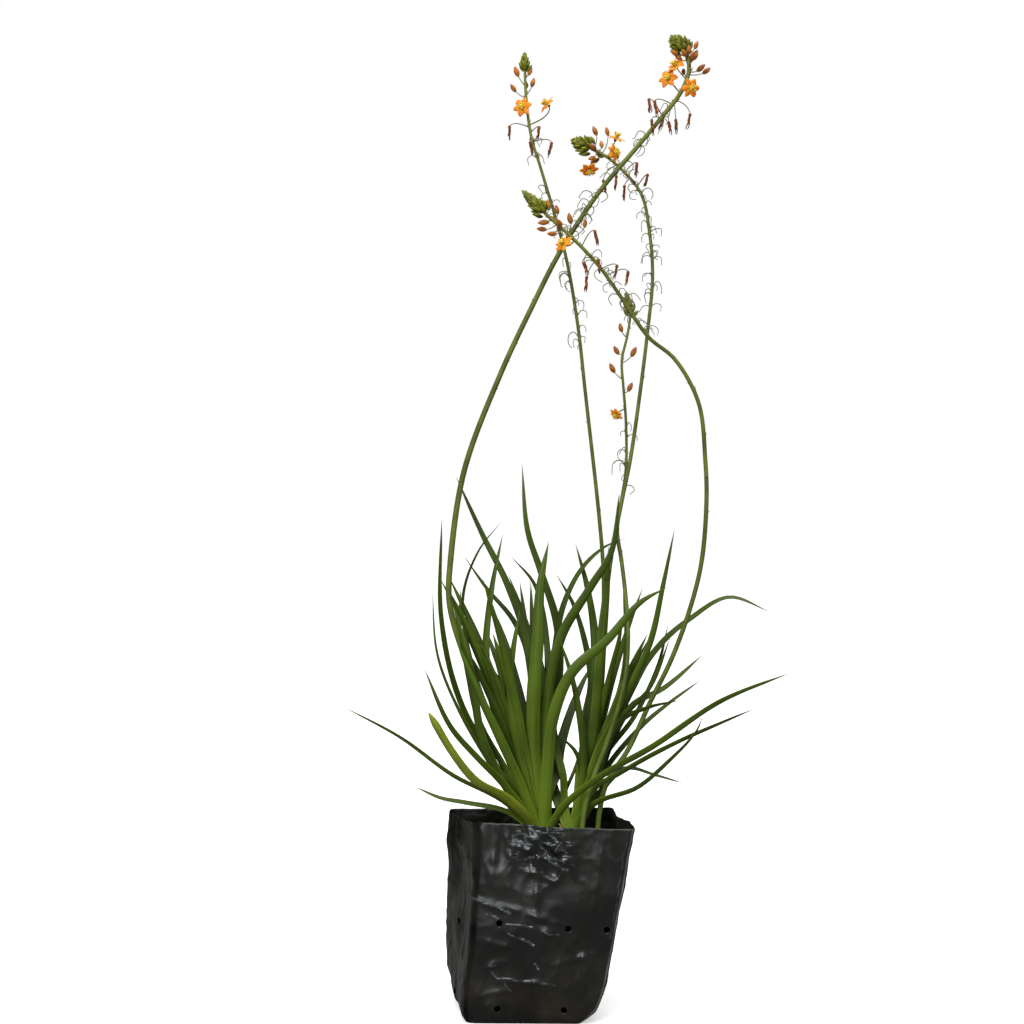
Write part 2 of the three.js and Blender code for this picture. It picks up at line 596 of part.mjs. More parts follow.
// A place on a raceme: the stalk point below the tip and the axes round it
function station(points, below) {
  const stride = points[1].distanceTo(points[0]);
  const place = Math.max(points.length - 1 - below / stride, 1);
  const i = Math.floor(place);
  const spot = points[i].clone().lerp(points[Math.min(i + 1, points.length - 1)], place - i);
  const up = points[Math.min(i + 1, points.length - 1)].clone().sub(points[i - 1]).normalize();
  const right = new THREE.Vector3(up.z, 0, -up.x).normalize();
  return { spot, up, right, back: up.clone().cross(right) };
}

function offset({ spot, up, right, back }, angle, reach, rise) {
  return spot.clone()
    .addScaledVector(right, reach * Math.cos(angle * TURN))
    .addScaledVector(back, reach * Math.sin(angle * TURN))
    .addScaledVector(up, rise);
}

// A thin stem from the stalk to an end point, leaving outwards and arriving along a direction
function pedicel(from, to, arrive) {
  const reach = from.distanceTo(to);
  const middle = to.clone().addScaledVector(arrive, -0.45 * reach).lerp(from, 0.25);
  const points = new THREE.QuadraticBezierCurve3(from, middle, to).getPoints(STEM_STEPS);
  const side = new THREE.Vector3(0.3, 1, 0.2).normalize();
  return bend(points, STEM_SIDES, side, () => [PEDICEL_WIDTH / 2, PEDICEL_WIDTH / 2]);
}

function bud(points, [below, angle, reach, rise], size) {
  const base = station(points, below);
  const centre = offset(base, angle, reach, rise);
  const out = centre.clone().sub(base.spot).normalize();
  const lean = out.clone().addScaledVector(base.up, 0.7).normalize();
  const foot = centre.clone().addScaledVector(lean, -0.35 * BUD_LENGTH * size);
  return [
    lump(centre, lean, (BUD_LENGTH * size) / 2, (BUD_WIDTH * size) / 2, LUMP_SIDES, LUMP_RINGS),
    pedicel(base.spot, foot, lean),
  ];
}

function spentFlower(points, [below, angle, reach, rise]) {
  const base = station(points, below);
  const centre = offset(base, angle, reach, rise);
  const down = new THREE.Vector3(0.25 * Math.cos(below), 0.2 * Math.sin(below), -1).normalize();
  const top = centre.clone().addScaledVector(down, -0.26 * SPENT_LENGTH);
  return [
    lump(centre, down, SPENT_LENGTH / 2, SPENT_WIDTH / 2, SMALL_LUMP_SIDES, LUMP_RINGS),
    pedicel(base.spot, top, down),
  ];
}

// Thin curled stems left where flowers have dropped
function threads(points, { from, to, count }, draw) {
  return Array.from({ length: count }, (_, i) => {
    const base = station(points, from + ((to - from) * (i + draw())) / count);
    const angle = (i % 2 === 0 ? 0 : 180) + 110 * (draw() - 0.5);
    const reach = within(THREAD_REACH, draw());
    const rise = within(THREAD_RISE, draw());
    const ends = [
      base.spot,
      offset(base, angle, 0.5 * reach, rise),
      offset(base, angle, reach, rise * 0.6),
      offset(base, angle, reach * 1.1, -3 - 3 * draw()),
    ];
    const curve = new THREE.CatmullRomCurve3(ends).getSpacedPoints(THREAD_STEPS);
    const side = new THREE.Vector3(0.2, 1, 0.1).normalize();
    return bend(curve, STEM_SIDES, side, (t) => {
      const half = t < 1 ? THREAD_WIDTH / 2 : 0;
      return [half, half];
    });
  });
}

// The tip of a raceme: packed green buds round a core
function cone(points, { length, width, buds }) {
  const parts = [];
  const core = station(points, 0.45 * length);
  parts.push(lump(core.spot, core.up, (CONE_CORE.length * length) / 2,
    (CONE_CORE.width * width) / 2, LUMP_SIDES, LUMP_RINGS));
  for (let i = 0; i < buds; i += 1) {
    const f = i / (buds - 1);
    const base = station(points, length * (1 - 0.92 * f));
    const reach = 0.36 * width * (1 - 0.8 * f);
    const centre = offset(base, BUD_TURN * i, reach, 0);
    const out = centre.clone().sub(base.spot).normalize();
    const lean = base.up.clone().addScaledVector(out, 0.9 - 0.6 * f).normalize();
    parts.push(lump(centre, lean, within(CONE_BUD_LENGTH, f) / 2, within(CONE_BUD_WIDTH, f) / 2,
      SMALL_LUMP_SIDES, LUMP_RINGS));
  }
  return parts;
}

// Where a bloom's stem meets it, behind the bloom's centre
function bloomSeat(points, { at: [below, angle, reach, rise], face, size = 1 }) {
  const base = station(points, below);
  const centre = offset(base, angle, reach, rise);
  const facing = vector(face).normalize();
  return { base, centre, facing, size };
}

function bloomStem(points, bloom) {
  const { base, centre, facing, size } = bloomSeat(points, bloom);
  const end = centre.clone().addScaledVector(facing, -1.5 * size - FIT);
  return pedicel(base.spot, end, facing);
}

function bloomSolid(points, bloom) {
  const { centre, facing, size } = bloomSeat(points, bloom);
  const start = new THREE.Vector3(0, 1, 0).cross(facing).normalize();
  const tuft = centre.clone().addScaledVector(facing, 0.27 * TUFT_LENGTH * size);
  const parts = [lump(tuft, facing, (TUFT_LENGTH * size) / 2, (TUFT_WIDTH * size) / 2,
    LUMP_SIDES, LUMP_RINGS + 1)];
  for (let i = 0; i < TEPALS; i += 1) {
    const out = start.clone().applyAxisAngle(facing, (2 * Math.PI * i) / TEPALS);
    const side = facing.clone().cross(out);
    const along = (reach, lift) => centre.clone()
      .addScaledVector(out, reach * TEPAL_LENGTH * size)
      .addScaledVector(facing, lift * size);
    const spine = [along(0.05, -0.3), along(0.55, 1.0), along(1, 0.4 - 0.5 * (i % 2))];
    const half = (0.5 * TEPAL_WIDTH - 0.3 * (i % 2)) * size;
    parts.push(bend(spine, STEM_SIDES, side, (t) => [
      half * between([0, 0.5, 1], [0.45, 1, 0], t),
      0.5 * TEPAL_THICKNESS * between([0, 0.5, 1], [1.2, 1, 0], t),
    ]));
  }
  return fuse(parts);
}

function stalkSolid(stalk, points) {
  const [low, high] = stalk.width;
  const draw = drawer(RACEME_SEED + points.length);
  const spots = thin(points, Math.round(points.length / STALK_STATION));
  const stem = bend(spots, STALK_SIDES, new THREE.Vector3(1, 0, 0), (t) => {
    const half = 0.5 * (low + (high - low) * t);
    return [half, half];
  });
  return fuse([
    stem,
    ...cone(points, stalk.cone),
    ...stalk.buds.flatMap((entry) => bud(points, entry, 1)),
    ...stalk.spent.flatMap((entry) => spentFlower(points, entry)),
    ...threads(points, stalk.threads, draw),
    ...stalk.blooms.map((bloom) => bloomStem(points, bloom)),
  ]);
}

const film = new THREE.MeshStandardMaterial({ color: 0x232522, roughness: 0.4, metalness: 0 });
const earth = new THREE.MeshStandardMaterial({ color: 0x2b2018, roughness: 0.95, metalness: 0 });
const leafGreen = new THREE.MeshStandardMaterial({ color: 0x4a6b1e, roughness: 0.5, metalness: 0 });
const stalkGreen = new THREE.MeshStandardMaterial({ color: 0x5f6b2e, roughness: 0.55, metalness: 0 });
const orange = new THREE.MeshStandardMaterial({ color: 0xe88a1a, roughness: 0.6, metalness: 0 });

const stalks = Object.entries(STALKS).map(([name, stalk]) => (
  { name, ...stalk, points: stalkCourse(stalk) }));
const leaves = leafCourses();
settle(leaves, stalks);

const plant = new THREE.Group();
plant.add(meshOf('nursery_bag', bag(), film));
plant.add(meshOf('potting_soil', soil(), earth));
Object.entries(SHOOTS).forEach(([name, shoot]) => {
  const blades = leaves.filter((leaf) => leaf.shoot === name).map(leafSolid);
  plant.add(meshOf(`leafy_shoot_${name}`, fuse([crown(shoot), ...blades]), leafGreen));
});
stalks.forEach((stalk) => {
  plant.add(meshOf(`flower_stalk_${stalk.name}`, stalkSolid(stalk, stalk.points), stalkGreen));
  stalk.blooms.forEach((bloom, i) => {
    plant.add(meshOf(`bloom_${stalk.name}_${i + 1}`, bloomSolid(stalk.points, bloom), orange));
  });
});

export default plant;
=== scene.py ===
import math

import bmesh
import bpy
import numpy as np
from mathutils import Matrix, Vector, noise


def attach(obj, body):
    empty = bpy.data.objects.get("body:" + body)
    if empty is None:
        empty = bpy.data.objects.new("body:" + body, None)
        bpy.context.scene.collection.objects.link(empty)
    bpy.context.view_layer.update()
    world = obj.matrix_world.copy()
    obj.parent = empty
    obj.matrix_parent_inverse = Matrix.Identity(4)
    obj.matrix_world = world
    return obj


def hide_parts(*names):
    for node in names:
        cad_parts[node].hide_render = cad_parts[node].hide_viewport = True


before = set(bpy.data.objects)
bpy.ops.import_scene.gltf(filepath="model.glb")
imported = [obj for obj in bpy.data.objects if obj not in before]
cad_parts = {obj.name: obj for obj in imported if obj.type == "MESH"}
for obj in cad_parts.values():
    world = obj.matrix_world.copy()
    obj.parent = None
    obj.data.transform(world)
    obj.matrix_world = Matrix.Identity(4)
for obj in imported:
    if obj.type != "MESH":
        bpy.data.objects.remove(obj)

bl_info = {
    "name": "Potted stalked bulbine",
    "version": (1, 0, 0),
    "blender": (4, 5, 0),
    "location": "3D View > Sidebar > Bulbine",
    "description": "Dresses the potted bulbine: film bag, potting soil, leaves, stalks and blooms",
    "category": "Object",
}

MM = 0.001
DEGREE = math.pi / 180

# The solids' driving sizes, in millimetres
BAG_HEIGHT = 139
SOIL_TOP = 118
STALK_BOTTOM = 103
LEAF_START = 121
LEAF_FLATNESS = 0.52
LEAF_FACING = 14
LEAF_TURN = 0.45
TEPAL_LENGTH = 7.4
TEPAL_WIDTH = 4.9
BUD_LENGTH = 7.5
BUD_WIDTH = 3.7
BUD_TURN = 137.5
TUFT_LENGTH = 6.8
SPENT_LENGTH = 9.2
THREAD_REACH = (6, 10)
THREAD_RISE = (2, 6)

# How leaves that would cross are eased apart
SHOOT_SPACING = 1.5
LEAF_CLEARANCE = (0.15, 0.6)
BEAD = 5
ROOT_STIFF = (12, 60)
ROOT_HELD = (5, 22)
DEPTH_FIRST = (145, 180)
LEAF_GIVE = 0.35
STALK_GIVE = 1.1
SETTLE_STEP = 1.6
SETTLE_ROUNDS = 56
SETTLE_EASINGS = 4
SETTLE_BATCH = 300
LEAST_DEPTH = 0.2

# The bag's plan at five heights. Corners run front left, front right, back right, back left.
BAG_PLANS = [
    (0, [(-53, -37), (28, -39), (30, 29), (-58, 29)]),
    (5, [(-55, -40), (34, -42), (34, 32), (-63, 32)]),
    (16, [(-55, -42), (42, -45), (39, 36), (-68, 36)]),
    (60, [(-49, -43), (52, -48), (47, 40), (-71, 39)]),
    (BAG_HEIGHT, [(-45, -37), (66, -50), (54, 40), (-69, 38)]),
]
CORNER_ROUND = [7, 4, 10, 9]
SIDE_POINTS = [5, 3, 4, 3]
SIDE_BULGE = [3.0, -2.5, 3.0, -3.0]

# Drain holes: side of the bag (0 front, 1 right, 2 back, 3 left), share of that side, height
DRAIN_HOLES = [
    (0, 0.12, 72), (0, 0.7, 69), (0, 0.97, 68), (3, 0.6, 66),
    (0, 0.2, 12), (0, 0.82, 11), (3, 0.5, 14),
    (2, 0.2, 70), (2, 0.75, 67), (2, 0.3, 13),
]

# Creases pressed into the front of the film: from and to (across, height), height of the ridge
FRONT_CREASES = [
    ((-50, 90), (-22, 80), 0.9), ((-39, 40), (-25, 47), 0.8), ((-29, 85), (20, 71), 0.9),
    ((-1, 70), (8, 65), 0.8), ((-15, 32), (10, 29), 0.7), ((-3, 118), (-3, 75), 0.8),
    ((30, 71), (30, 21), 0.9), ((-8, 136), (2, 108), 1.3), ((4, 139), (16, 112), 1.2),
    ((-22, 126), (-4, 121), 1.1), ((6, 121), (26, 128), 1.2), ((-14, 110), (12, 101), 1.0),
    ((20, 137), (24, 104), 1.0), ((-30, 138), (-36, 98), 0.9), ((44, 134), (36, 80), 0.8),
    ((-46, 62), (-20, 55), 0.6), ((38, 52), (8, 44), 0.7), ((-44, 20), (-20, 26), 0.7),
]

# Fine creases on the front of the film, whitened and with painted glints: from and to (across,
# height), strength
FINE_CREASES = [
    ((-48, 89), (-34, 85), 0.8), ((-34, 85), (-22, 79), 1.0), ((-22, 78), (17, 70), 0.35),
    ((-38, 78), (-29, 74), 0.7), ((-25, 72), (-6, 70), 0.8), ((0, 68), (6, 65), 0.8),
    ((6, 65), (12, 65), 0.7), ((-23, 65), (-16, 62), 0.7), ((-16, 63), (-6, 58), 1.0),
    ((-4, 45), (-2, 41), 0.9), ((-37, 41), (-25, 46), 0.6), ((-36, 39), (-30, 33), 0.7),
    ((-30, 33), (-11, 32), 0.7), ((-11, 32), (10, 30), 0.9), ((-25, 29), (-21, 24), 0.8),
    ((-3, 134), (-3, 53), 0.2), ((-9, 98), (3, 100), 0.5), ((-9, 94), (1, 94), 0.5),
    ((-16, 135), (-4, 132), 1.0), ((-4, 136), (13, 136), 0.9), ((-6, 131), (6, 127), 1.0),
    ((-18, 129), (-6, 126), 0.9), ((6, 134), (18, 122), 1.0), ((3, 122), (6, 115), 0.9),
    ((6, 115), (19, 109), 1.0), ((4, 118), (17, 115), 0.7), ((-22, 119), (-15, 116), 0.7),
    ((-15, 116), (-4, 118), 0.8), ((-2, 127), (3, 122), 0.8), ((-12, 133), (-8, 126), 0.8),
    ((-30, 131), (-37, 124), 0.4), ((10, 129), (15, 127), 0.9), ((31, 69), (31, 18), 0.25),
    ((-44, 80), (-44, 60), 0.3), ((-2, 12), (18, 9), 0.3), ((60, 134), (46, 46), 0.5),
]

# Leafy shoots: across, depth, and radius of the crown
SHOOTS = {"left": (2, -3, 8), "right": (23, 2, 6.5)}

# Leaves: shoot, width, and the points that each passes through from low down to its tip
LEAVES = [
    ("left", 10.6, [(-5, -16, 183), (-5, -20, 226), (-2, -20, 269), (0, -18, 308), (6, -14, 339)]),
    ("left", 8.8, [(5, -24, 180), (9, -30, 216), (22, -34, 247), (47, -36, 270), (70, -34, 296),
                   (90, -32, 307)]),
    ("left", 8.4, [(2, -8, 189), (7, -10, 239), (16, -12, 273), (36, -12, 306), (51, -10, 331),
                   (57, -6, 372)]),
    ("left", 6.7, [(0, 8, 172), (13, 14, 230), (13, 16, 276), (1, 16, 316), (-9, 16, 347),
                   (-13, 18, 396)]),
    ("left", 6.2, [(-20, 0, 177), (-46, -2, 239), (-56, -2, 296), (-45, 0, 331), (-28, 4, 353)]),
    ("left", 6.2, [(-3, 16, 178), (-8, 26, 258), (-23, 28, 305), (-42, 28, 343), (-62, 26, 387)]),
    ("left", 7.8, [(-17, -6, 170), (-36, -10, 232), (-39, -10, 261), (-35, -8, 304),
                   (-27, -4, 344)]),
    ("left", 5.6, [(2, 20, 192), (6, 36, 257), (-3, 38, 305), (-21, 38, 327)]),
    ("left", 5.4, [(3, 10, 194), (10, 9, 252), (17, 6, 292), (31, 2, 320), (47, -3, 335),
                   (61, -6, 341)]),
    ("left", 5.2, [(-3, 22, 192), (-7, 34, 250), (-19, 36, 279), (-39, 38, 303), (-56, 38, 327)]),
    ("left", 6.2, [(-25, 0, 165), (-58, 9, 222), (-72, 16, 281), (-72, 20, 356)]),
    ("left", 6.7, [(-12, -18, 176), (-20, -24, 216), (-21, -26, 248), (-15, -24, 290)]),
    ("left", 7.8, [(-25, -12, 164), (-42, -20, 201), (-50, -24, 250), (-63, -24, 297)]),
    ("left", 5.6, [(-27, -2, 163), (-58, -6, 216), (-74, -6, 257), (-78, -2, 304)]),
    ("left", 7.3, [(-26, -24, 166), (-46, -34, 188), (-64, -40, 210), (-82, -44, 251)]),
    ("left", 10.6, [(-22, -22, 155), (-46, -38, 171), (-62, -46, 192), (-78, -52, 220)]),
    ("left", 8.5, [(-8, -11, 150), (-18, -12, 161), (-30, -13, 175)]),
    ("left", 7.5, [(-13, -20, 163), (-29, -28, 200), (-42, -32, 228), (-60, -34, 270)]),
    ("left", 7.3, [(-25, -10, 151), (-63, -16, 172), (-100, -18, 199), (-141, -18, 221)]),
    ("left", 5.6, [(-23, -2, 143), (-54, -2, 150), (-72, 0, 153), (-91, 2, 161)]),
    ("left", 7.8, [(18, -22, 152), (45, -38, 176), (78, -46, 196), (125, -50, 228),
                   (174, -50, 248)]),
    ("left", 9.0, [(-20, -5, 166), (-44, -4, 209), (-52, -4, 242), (-58, -4, 280),
                   (-57, -3, 307)]),
    ("right", 6.2, [(38, -9, 160), (57, -14, 173), (90, -19, 192), (136, -22, 213),
                    (153, -22, 220)]),
    ("right", 10.1, [(35, -2, 173), (40, -4, 213), (45, -4, 273), (48, -2, 304), (50, 2, 336)]),
    ("right", 7.8, [(31, 4, 180), (38, 6, 230), (40, 6, 266), (35, 8, 303), (26, 8, 337)]),
    ("right", 5.6, [(34, 20, 179), (39, 28, 229), (27, 31, 287), (12, 31, 315)]),
    ("right", 4.5, [(30, -8, 171), (26, -12, 187), (14, -16, 200)]),
    ("right", 5.6, [(31, -10, 182), (28, -16, 215), (23, -18, 240), (14, -20, 269)]),
    ("right", 8.4, [(38, -11, 150), (69, -17, 163), (90, -20, 181), (111, -22, 204),
                    (116, -22, 216)]),
    ("right", 6.2, [(40, 5, 172), (63, 11, 226), (88, 14, 263), (110, 14, 282), (138, 10, 298),
                    (168, 4, 287)]),
    ("right", 6.2, [(44, 11, 175), (68, 24, 217), (93, 32, 230), (122, 38, 254)]),
    ("right", 6.7, [(39, -5, 171), (57, -9, 209), (77, -15, 220), (100, -22, 226)]),
    ("right", 4.5, [(45, 9, 168), (74, 19, 202), (94, 25, 218), (120, 30, 236)]),
    ("right", 5.0, [(40, 10, 150), (63, 24, 171), (86, 32, 165), (108, 36, 158)]),
    ("right", 6.7, [(37, -4, 174), (62, -12, 229), (79, -12, 267), (88, -10, 306), (97, -6, 348)]),
    ("right", 4.5, [(42, 9, 175), (70, 17, 211), (87, 21, 247), (95, 24, 278)]),
    ("right", 4.9, [(36, -7, 171), (57, -13, 212), (78, -22, 235), (92, -30, 272)]),
    ("right", 8.0, [(35, -3, 169), (43, -3, 188), (59, 0, 234), (63, 4, 265), (62, 7, 293),
                    (61, 9, 322)]),
]
# The old leaf, and the leaves with blunt tips: number, share of the width left at the tip
YELLOW_LEAF = 15
BLUNT_LEAVES = {15: 0.8, 16: 0.5, 2: 0.3, 11: 0.22}

# Leaves of the far side and the gaps, drawn by rule: shoot, count, first and last compass angle
FILL_SEED = 31
FILL_LENGTH = (150, 235)
FILL_WIDTH = (5.6, 8.6)
FILL_LEAVES = [
    ("left", 10, 72, 128),
    ("left", 7, 152, 205),
    ("right", 8, -25, 48),
    ("left", 3, 205, 238),
    ("right", 2, 100, 150),
]

# Flower stalks. Route points run from the soil to the tip. A raceme's entries give the distance
# below the tip, the compass angle round the stalk, the reach from it and the rise along it. A
# bloom adds the way that it faces and its size. The cone has a length, a width and a number of
# buds, and the threads a first and a last distance below the tip and a number.
STALKS = {
    "tall": {
        "width": (5.0, 3.0),
        "cone": (13, 17, 11),
        "route": [(-12, 9, 136), (-19, 8, 177), (-38, 7, 215), (-60, 6, 270),
                  (-66, 6, 296), (-65, 6, 325), (-55, 4, 390), (-29, 0, 459),
                  (-7, -3, 506), (15, -3, 549), (43, 0, 592), (70, 0, 624), (89, 0, 647),
                  (102, 0, 664), (108, 0, 680), (106, 0, 691), (101, 0, 699), (94, 0, 703)],
        "blooms": [((36, 188, 11, 5), (-0.5, -0.5, 0.7), 1),
                   ((47, 178, 13, 4), (-0.4, -0.85, 0.2), 1),
                   ((43, -58, 9, 1), (0.35, -0.9, -0.2), 1)],
        "buds": [(17, -5, 9, 4), (24, 15, 6, 6), (21, 190, 7, 2), (32, 8, 12, 7), (26, 95, 8, 7),
                 (33, 115, 9, 4), (27, -85, 8, 6), (16, 60, 8, 3), (19, 250, 8, 2),
                 (17, 200, 9, 3), (40, 60, 9, 3), (19, -75, 7, 3), (30, -35, 9, 4)],
        "spent": [(53, 8, 16, -4), (57, 200, 9, -9), (62, -15, 9, -9), (68, 165, 14, 2),
                  (60, 85, 9, -8), (70, -100, 8, -9), (55, -20, 12, -12)],
        "threads": (74, 180, 8),
    },
    "slender": {
        "width": (3.4, 2.0),
        "cone": (11, 9, 8),
        "route": [(30, 22, 136), (34, 23, 160), (43, 26, 222), (47, 27, 280), (47, 27, 319),
                  (44, 27, 357), (34, 27, 447), (28, 27, 500), (19, 28, 551), (1, 28, 614),
                  (-6, 28, 637), (-10, 28, 668), (-11, 28, 699)],
        "blooms": [((42, -115, 8, 1), (-0.35, -0.93, 0.1), 1),
                   ((53, -5, 16, 12), (-0.75, -0.3, 0.55), 1)],
        "buds": [(24, 180, 6, 11), (33, 187, 9, 8), (31, 0, 6, 9), (18, 10, 4, 5),
                 (30, 80, 6, 8)],
        "spent": [(55, 175, 15, 1), (59, 0, 6, 0), (66, 8, 12, -7), (62, 100, 9, -5)],
        "threads": (72, 236, 6),
    },
    "hooked": {
        "width": (3.6, 2.2),
        "cone": (14, 17, 11),
        "route": [(30, -19, 136), (34, -20, 159), (49, -22, 201), (60, -19, 239), (63, -12, 268),
                  (62, -5, 296), (59, 1, 325), (56, 4, 347), (59, 6, 365), (66, 8, 399),
                  (74, 12, 453), (79, 16, 492), (83, 20, 532), (81, 22, 565), (75, 23, 594),
                  (59, 24, 614), (46, 24, 624), (33, 24, 630), (24, 24, 634)],
        "blooms": [((29, 8, 15, 3), (0.3, -0.3, 0.9), 1),
                   ((31, -70, 10, 0), (0.8, -0.6, 0.1), 1),
                   ((27, 184, 15, 4), (0.1, -0.5, -0.85), 1)],
        "buds": [(17, 0, 13, 5), (24, -8, 16, 5), (20, 30, 8, 0), (22, 140, 8, 0),
                 (26, 90, 9, 3), (19, 215, 9, 0), (18, 270, 8, 2)],
        "spent": [(38, 178, 17, -3), (42, 150, 9, -3), (46, 5, 9, -3), (60, 0, 9, 2),
                  (52, 180, 9, -4)],
        "threads": (62, 156, 6),
    },
    "arching": {
        "width": (4.0, 2.4),
        "cone": (20, 16, 12),
        "route": [(42, -3, 136), (48, -3, 164), (64, -3, 189), (79, -5, 222), (95, -7, 255),
                  (109, -10, 295), (116, -12, 326), (119, -15, 369), (118, -16, 397),
                  (113, -18, 438), (96, -19, 469), (77, -19, 485), (57, -20, 514),
                  (42, -21, 535), (24, -22, 554), (2, -22, 574), (-12, -22, 588)],
        "blooms": [((50, 215, 10, 3), (-0.5, -0.6, 0.55), 1)],
        "buds": [(22, 5, 6, 3), (30, 10, 8, 4), (43, 0, 9, 6), (26, 190, 6, 1), (33, 170, 10, 6),
                 (38, 190, 8, 3), (47, 5, 14, 0), (36, -80, 6, 2), (30, 80, 7, 3),
                 (40, 85, 8, 3)],
        "spent": [(57, 0, 13, -1), (63, 180, 8, -6), (71, 182, 14, -7), (78, 5, 8, -7),
                  (84, 0, 12, -9), (68, -90, 8, -6)],
        "threads": (78, 140, 5),
    },
    "young": {
        "width": (2.8, 1.8),
        "cone": (15, 11, 8),
        "route": [(12, 20, 136), (28, 16, 178), (41, 15, 229), (47, 14, 281), (51, 14, 314),
                  (54, 14, 336), (59, 14, 365), (63, 14, 391), (63, 14, 427), (61, 13, 453),
                  (60, 13, 471), (64, 12, 489), (66, 12, 505), (63, 12, 520)],
        "blooms": [((86, 200, 7, -3), (-0.5, -0.5, -0.7), 0.75)],
        "buds": [(33, 180, 6, 6), (46, 180, 5, 3), (52, 0, 9, 8), (64, 180, 7, 9),
                 (74, 0, 5, 4)],
        "spent": [],
        "threads": (100, 150, 2),
    },
}
RACEME_SEED = 7


def shade(code):
    """Linear colour of a hexadecimal screen colour."""
    parts = [int(code[i:i + 2], 16) / 255 for i in (0, 2, 4)]
    return tuple(c / 12.92 if c <= 0.04045 else ((c + 0.055) / 1.055) ** 2.4 for c in parts) + (1,)


def unit(v):
    """A vector of length 1."""
    return v / max(np.linalg.norm(v), 1e-12)


def smoothstep(x, low, high):
    f = np.clip((x - low) / (high - low), 0, 1)
    return f * f * (3 - 2 * f)


def between(keys, values, key):
    """Smooth run through values given at rising keys."""
    i = 0
    while i < len(keys) - 2 and key > keys[i + 1]:
        i += 1

    def slope(k):
        a, b = max(k - 1, 0), min(k + 1, len(keys) - 1)
        return (values[b] - values[a]) / (keys[b] - keys[a])

    span = keys[i + 1] - keys[i]
    f = min(max((key - keys[i]) / span, 0), 1)
    start = (1 + 2 * f) * (1 - f) ** 2 * values[i] + f * (1 - f) ** 2 * span * slope(i)
    end = f * f * (3 - 2 * f) * values[i + 1] + f * f * (f - 1) * span * slope(i + 1)
    return start + end


def within(limits, share):
    """A share of the way from one limit to the other."""
    return limits[0] + (limits[1] - limits[0]) * share


def drawer(seed):
    """Repeatable draws between 0 and 1."""
    state, size = seed, 2 ** 32

    def draw():
        nonlocal state
        state = (state * 1664525 + 1013904223) % size
        return state / size
    return draw


class Curve:
    """Smooth open curve through points, evened out by length."""

    def __init__(self, points):
        p = np.array(points, float)
        self.p = np.vstack([2 * p[0] - p[1], p, 2 * p[-1] - p[-2]])
        self.t = np.linspace(0, 1, 201)
        laid = self.at(self.t)
        steps = np.linalg.norm(np.diff(laid, axis=0), axis=1)
        self.run = np.concatenate([[0], np.cumsum(steps)])

    def at(self, t):
        count = len(self.p) - 2
        place = np.asarray(t) * (count - 1)
        i = np.minimum(np.floor(place).astype(int), count - 2)
        f = (place - i)[:, None]
        p0, p1, p2, p3 = (self.p[i + k] for k in range(4))
        d0, d1, d2 = (np.sum((b - a) ** 2, axis=1)[:, None] ** 0.25
                      for a, b in ((p0, p1), (p1, p2), (p2, p3)))
        leave = ((p1 - p0) / d0 - (p2 - p0) / (d0 + d1) + (p2 - p1) / d1) * d1
        reach = ((p2 - p1) / d1 - (p3 - p1) / (d1 + d2) + (p3 - p2) / d2) * d1
        c2 = -3 * p1 + 3 * p2 - 2 * leave - reach
        c3 = 2 * p1 - 2 * p2 + leave + reach
        return p1 + leave * f + c2 * f ** 2 + c3 * f ** 3

    def length(self):
        return self.run[-1]

    def even(self, count):
        return self.at(np.interp(np.linspace(0, 1, count) * self.run[-1], self.run, self.t))


def rounded(x):
    """The nearest whole number, halves upward."""
    return int(math.floor(x + 0.5))


def leaf_shape(t):
    """A leaf's width along it, as a share of its full width."""
    return between([0, 0.4, 0.7, 0.9, 1], [1.0, 1.0, 0.8, 0.45, 0], t)


def fill_leaves():
    """The leaves of the far side and the gaps, in the form of the listed ones."""
    draw = drawer(FILL_SEED)
    made = []
    for shoot, count, first, last in FILL_LEAVES:
        for i in range(count):
            angle = (first + ((last - first) * (i + 0.2 + 0.6 * draw())) / count) * DEGREE
            length = within(FILL_LENGTH, draw())
            lean = (8 + 12 * draw() + 24 * draw() * max(math.sin(angle), 0)) * DEGREE
            sway = 0.5 * (draw() - 0.5)
            x, y, _ = SHOOTS[shoot]
            points = []
            for f in (0.28, 0.55, 0.8, 1):
                out = 6 + length * math.sin(lean) * (0.6 * f + 0.4 * f * f)
                turned = angle + sway * f
                up = LEAF_START + length * math.cos(lean) * f * (1 - 0.12 * f)
                points.append((x + out * math.cos(turned), y + out * math.sin(turned), up))
            made.append((shoot, within(FILL_WIDTH, draw()), points))
    return made


def leaf_courses():
    """Each leaf's even points from its root on the crown to its tip."""
    made = []
    for shoot, width, points in LEAVES + fill_leaves():
        x, y, radius = SHOOTS[shoot]
        towards = math.atan2(points[0][1] - y, points[0][0] - x)
        foot = radius - width / 2 - 0.5
        low = [(x + share * foot * math.cos(towards), y + share * foot * math.sin(towards), z)
               for share, z in ((0.5, LEAF_START - 2), (1, LEAF_START + 5))]
        curve = Curve(low + list(points))
        made.append((shoot, width, curve.even(rounded(curve.length() / BEAD) + 1)))
    return made


def stalk_course(stalk):
    """A stalk's even points from its foot in the soil to its tip."""
    x, y, _ = stalk["route"][0]
    curve = Curve([(x, y, STALK_BOTTOM), (x, y, SOIL_TOP + 3)] + stalk["route"])
    return curve.even(rounded(curve.length() / BEAD) + 1)


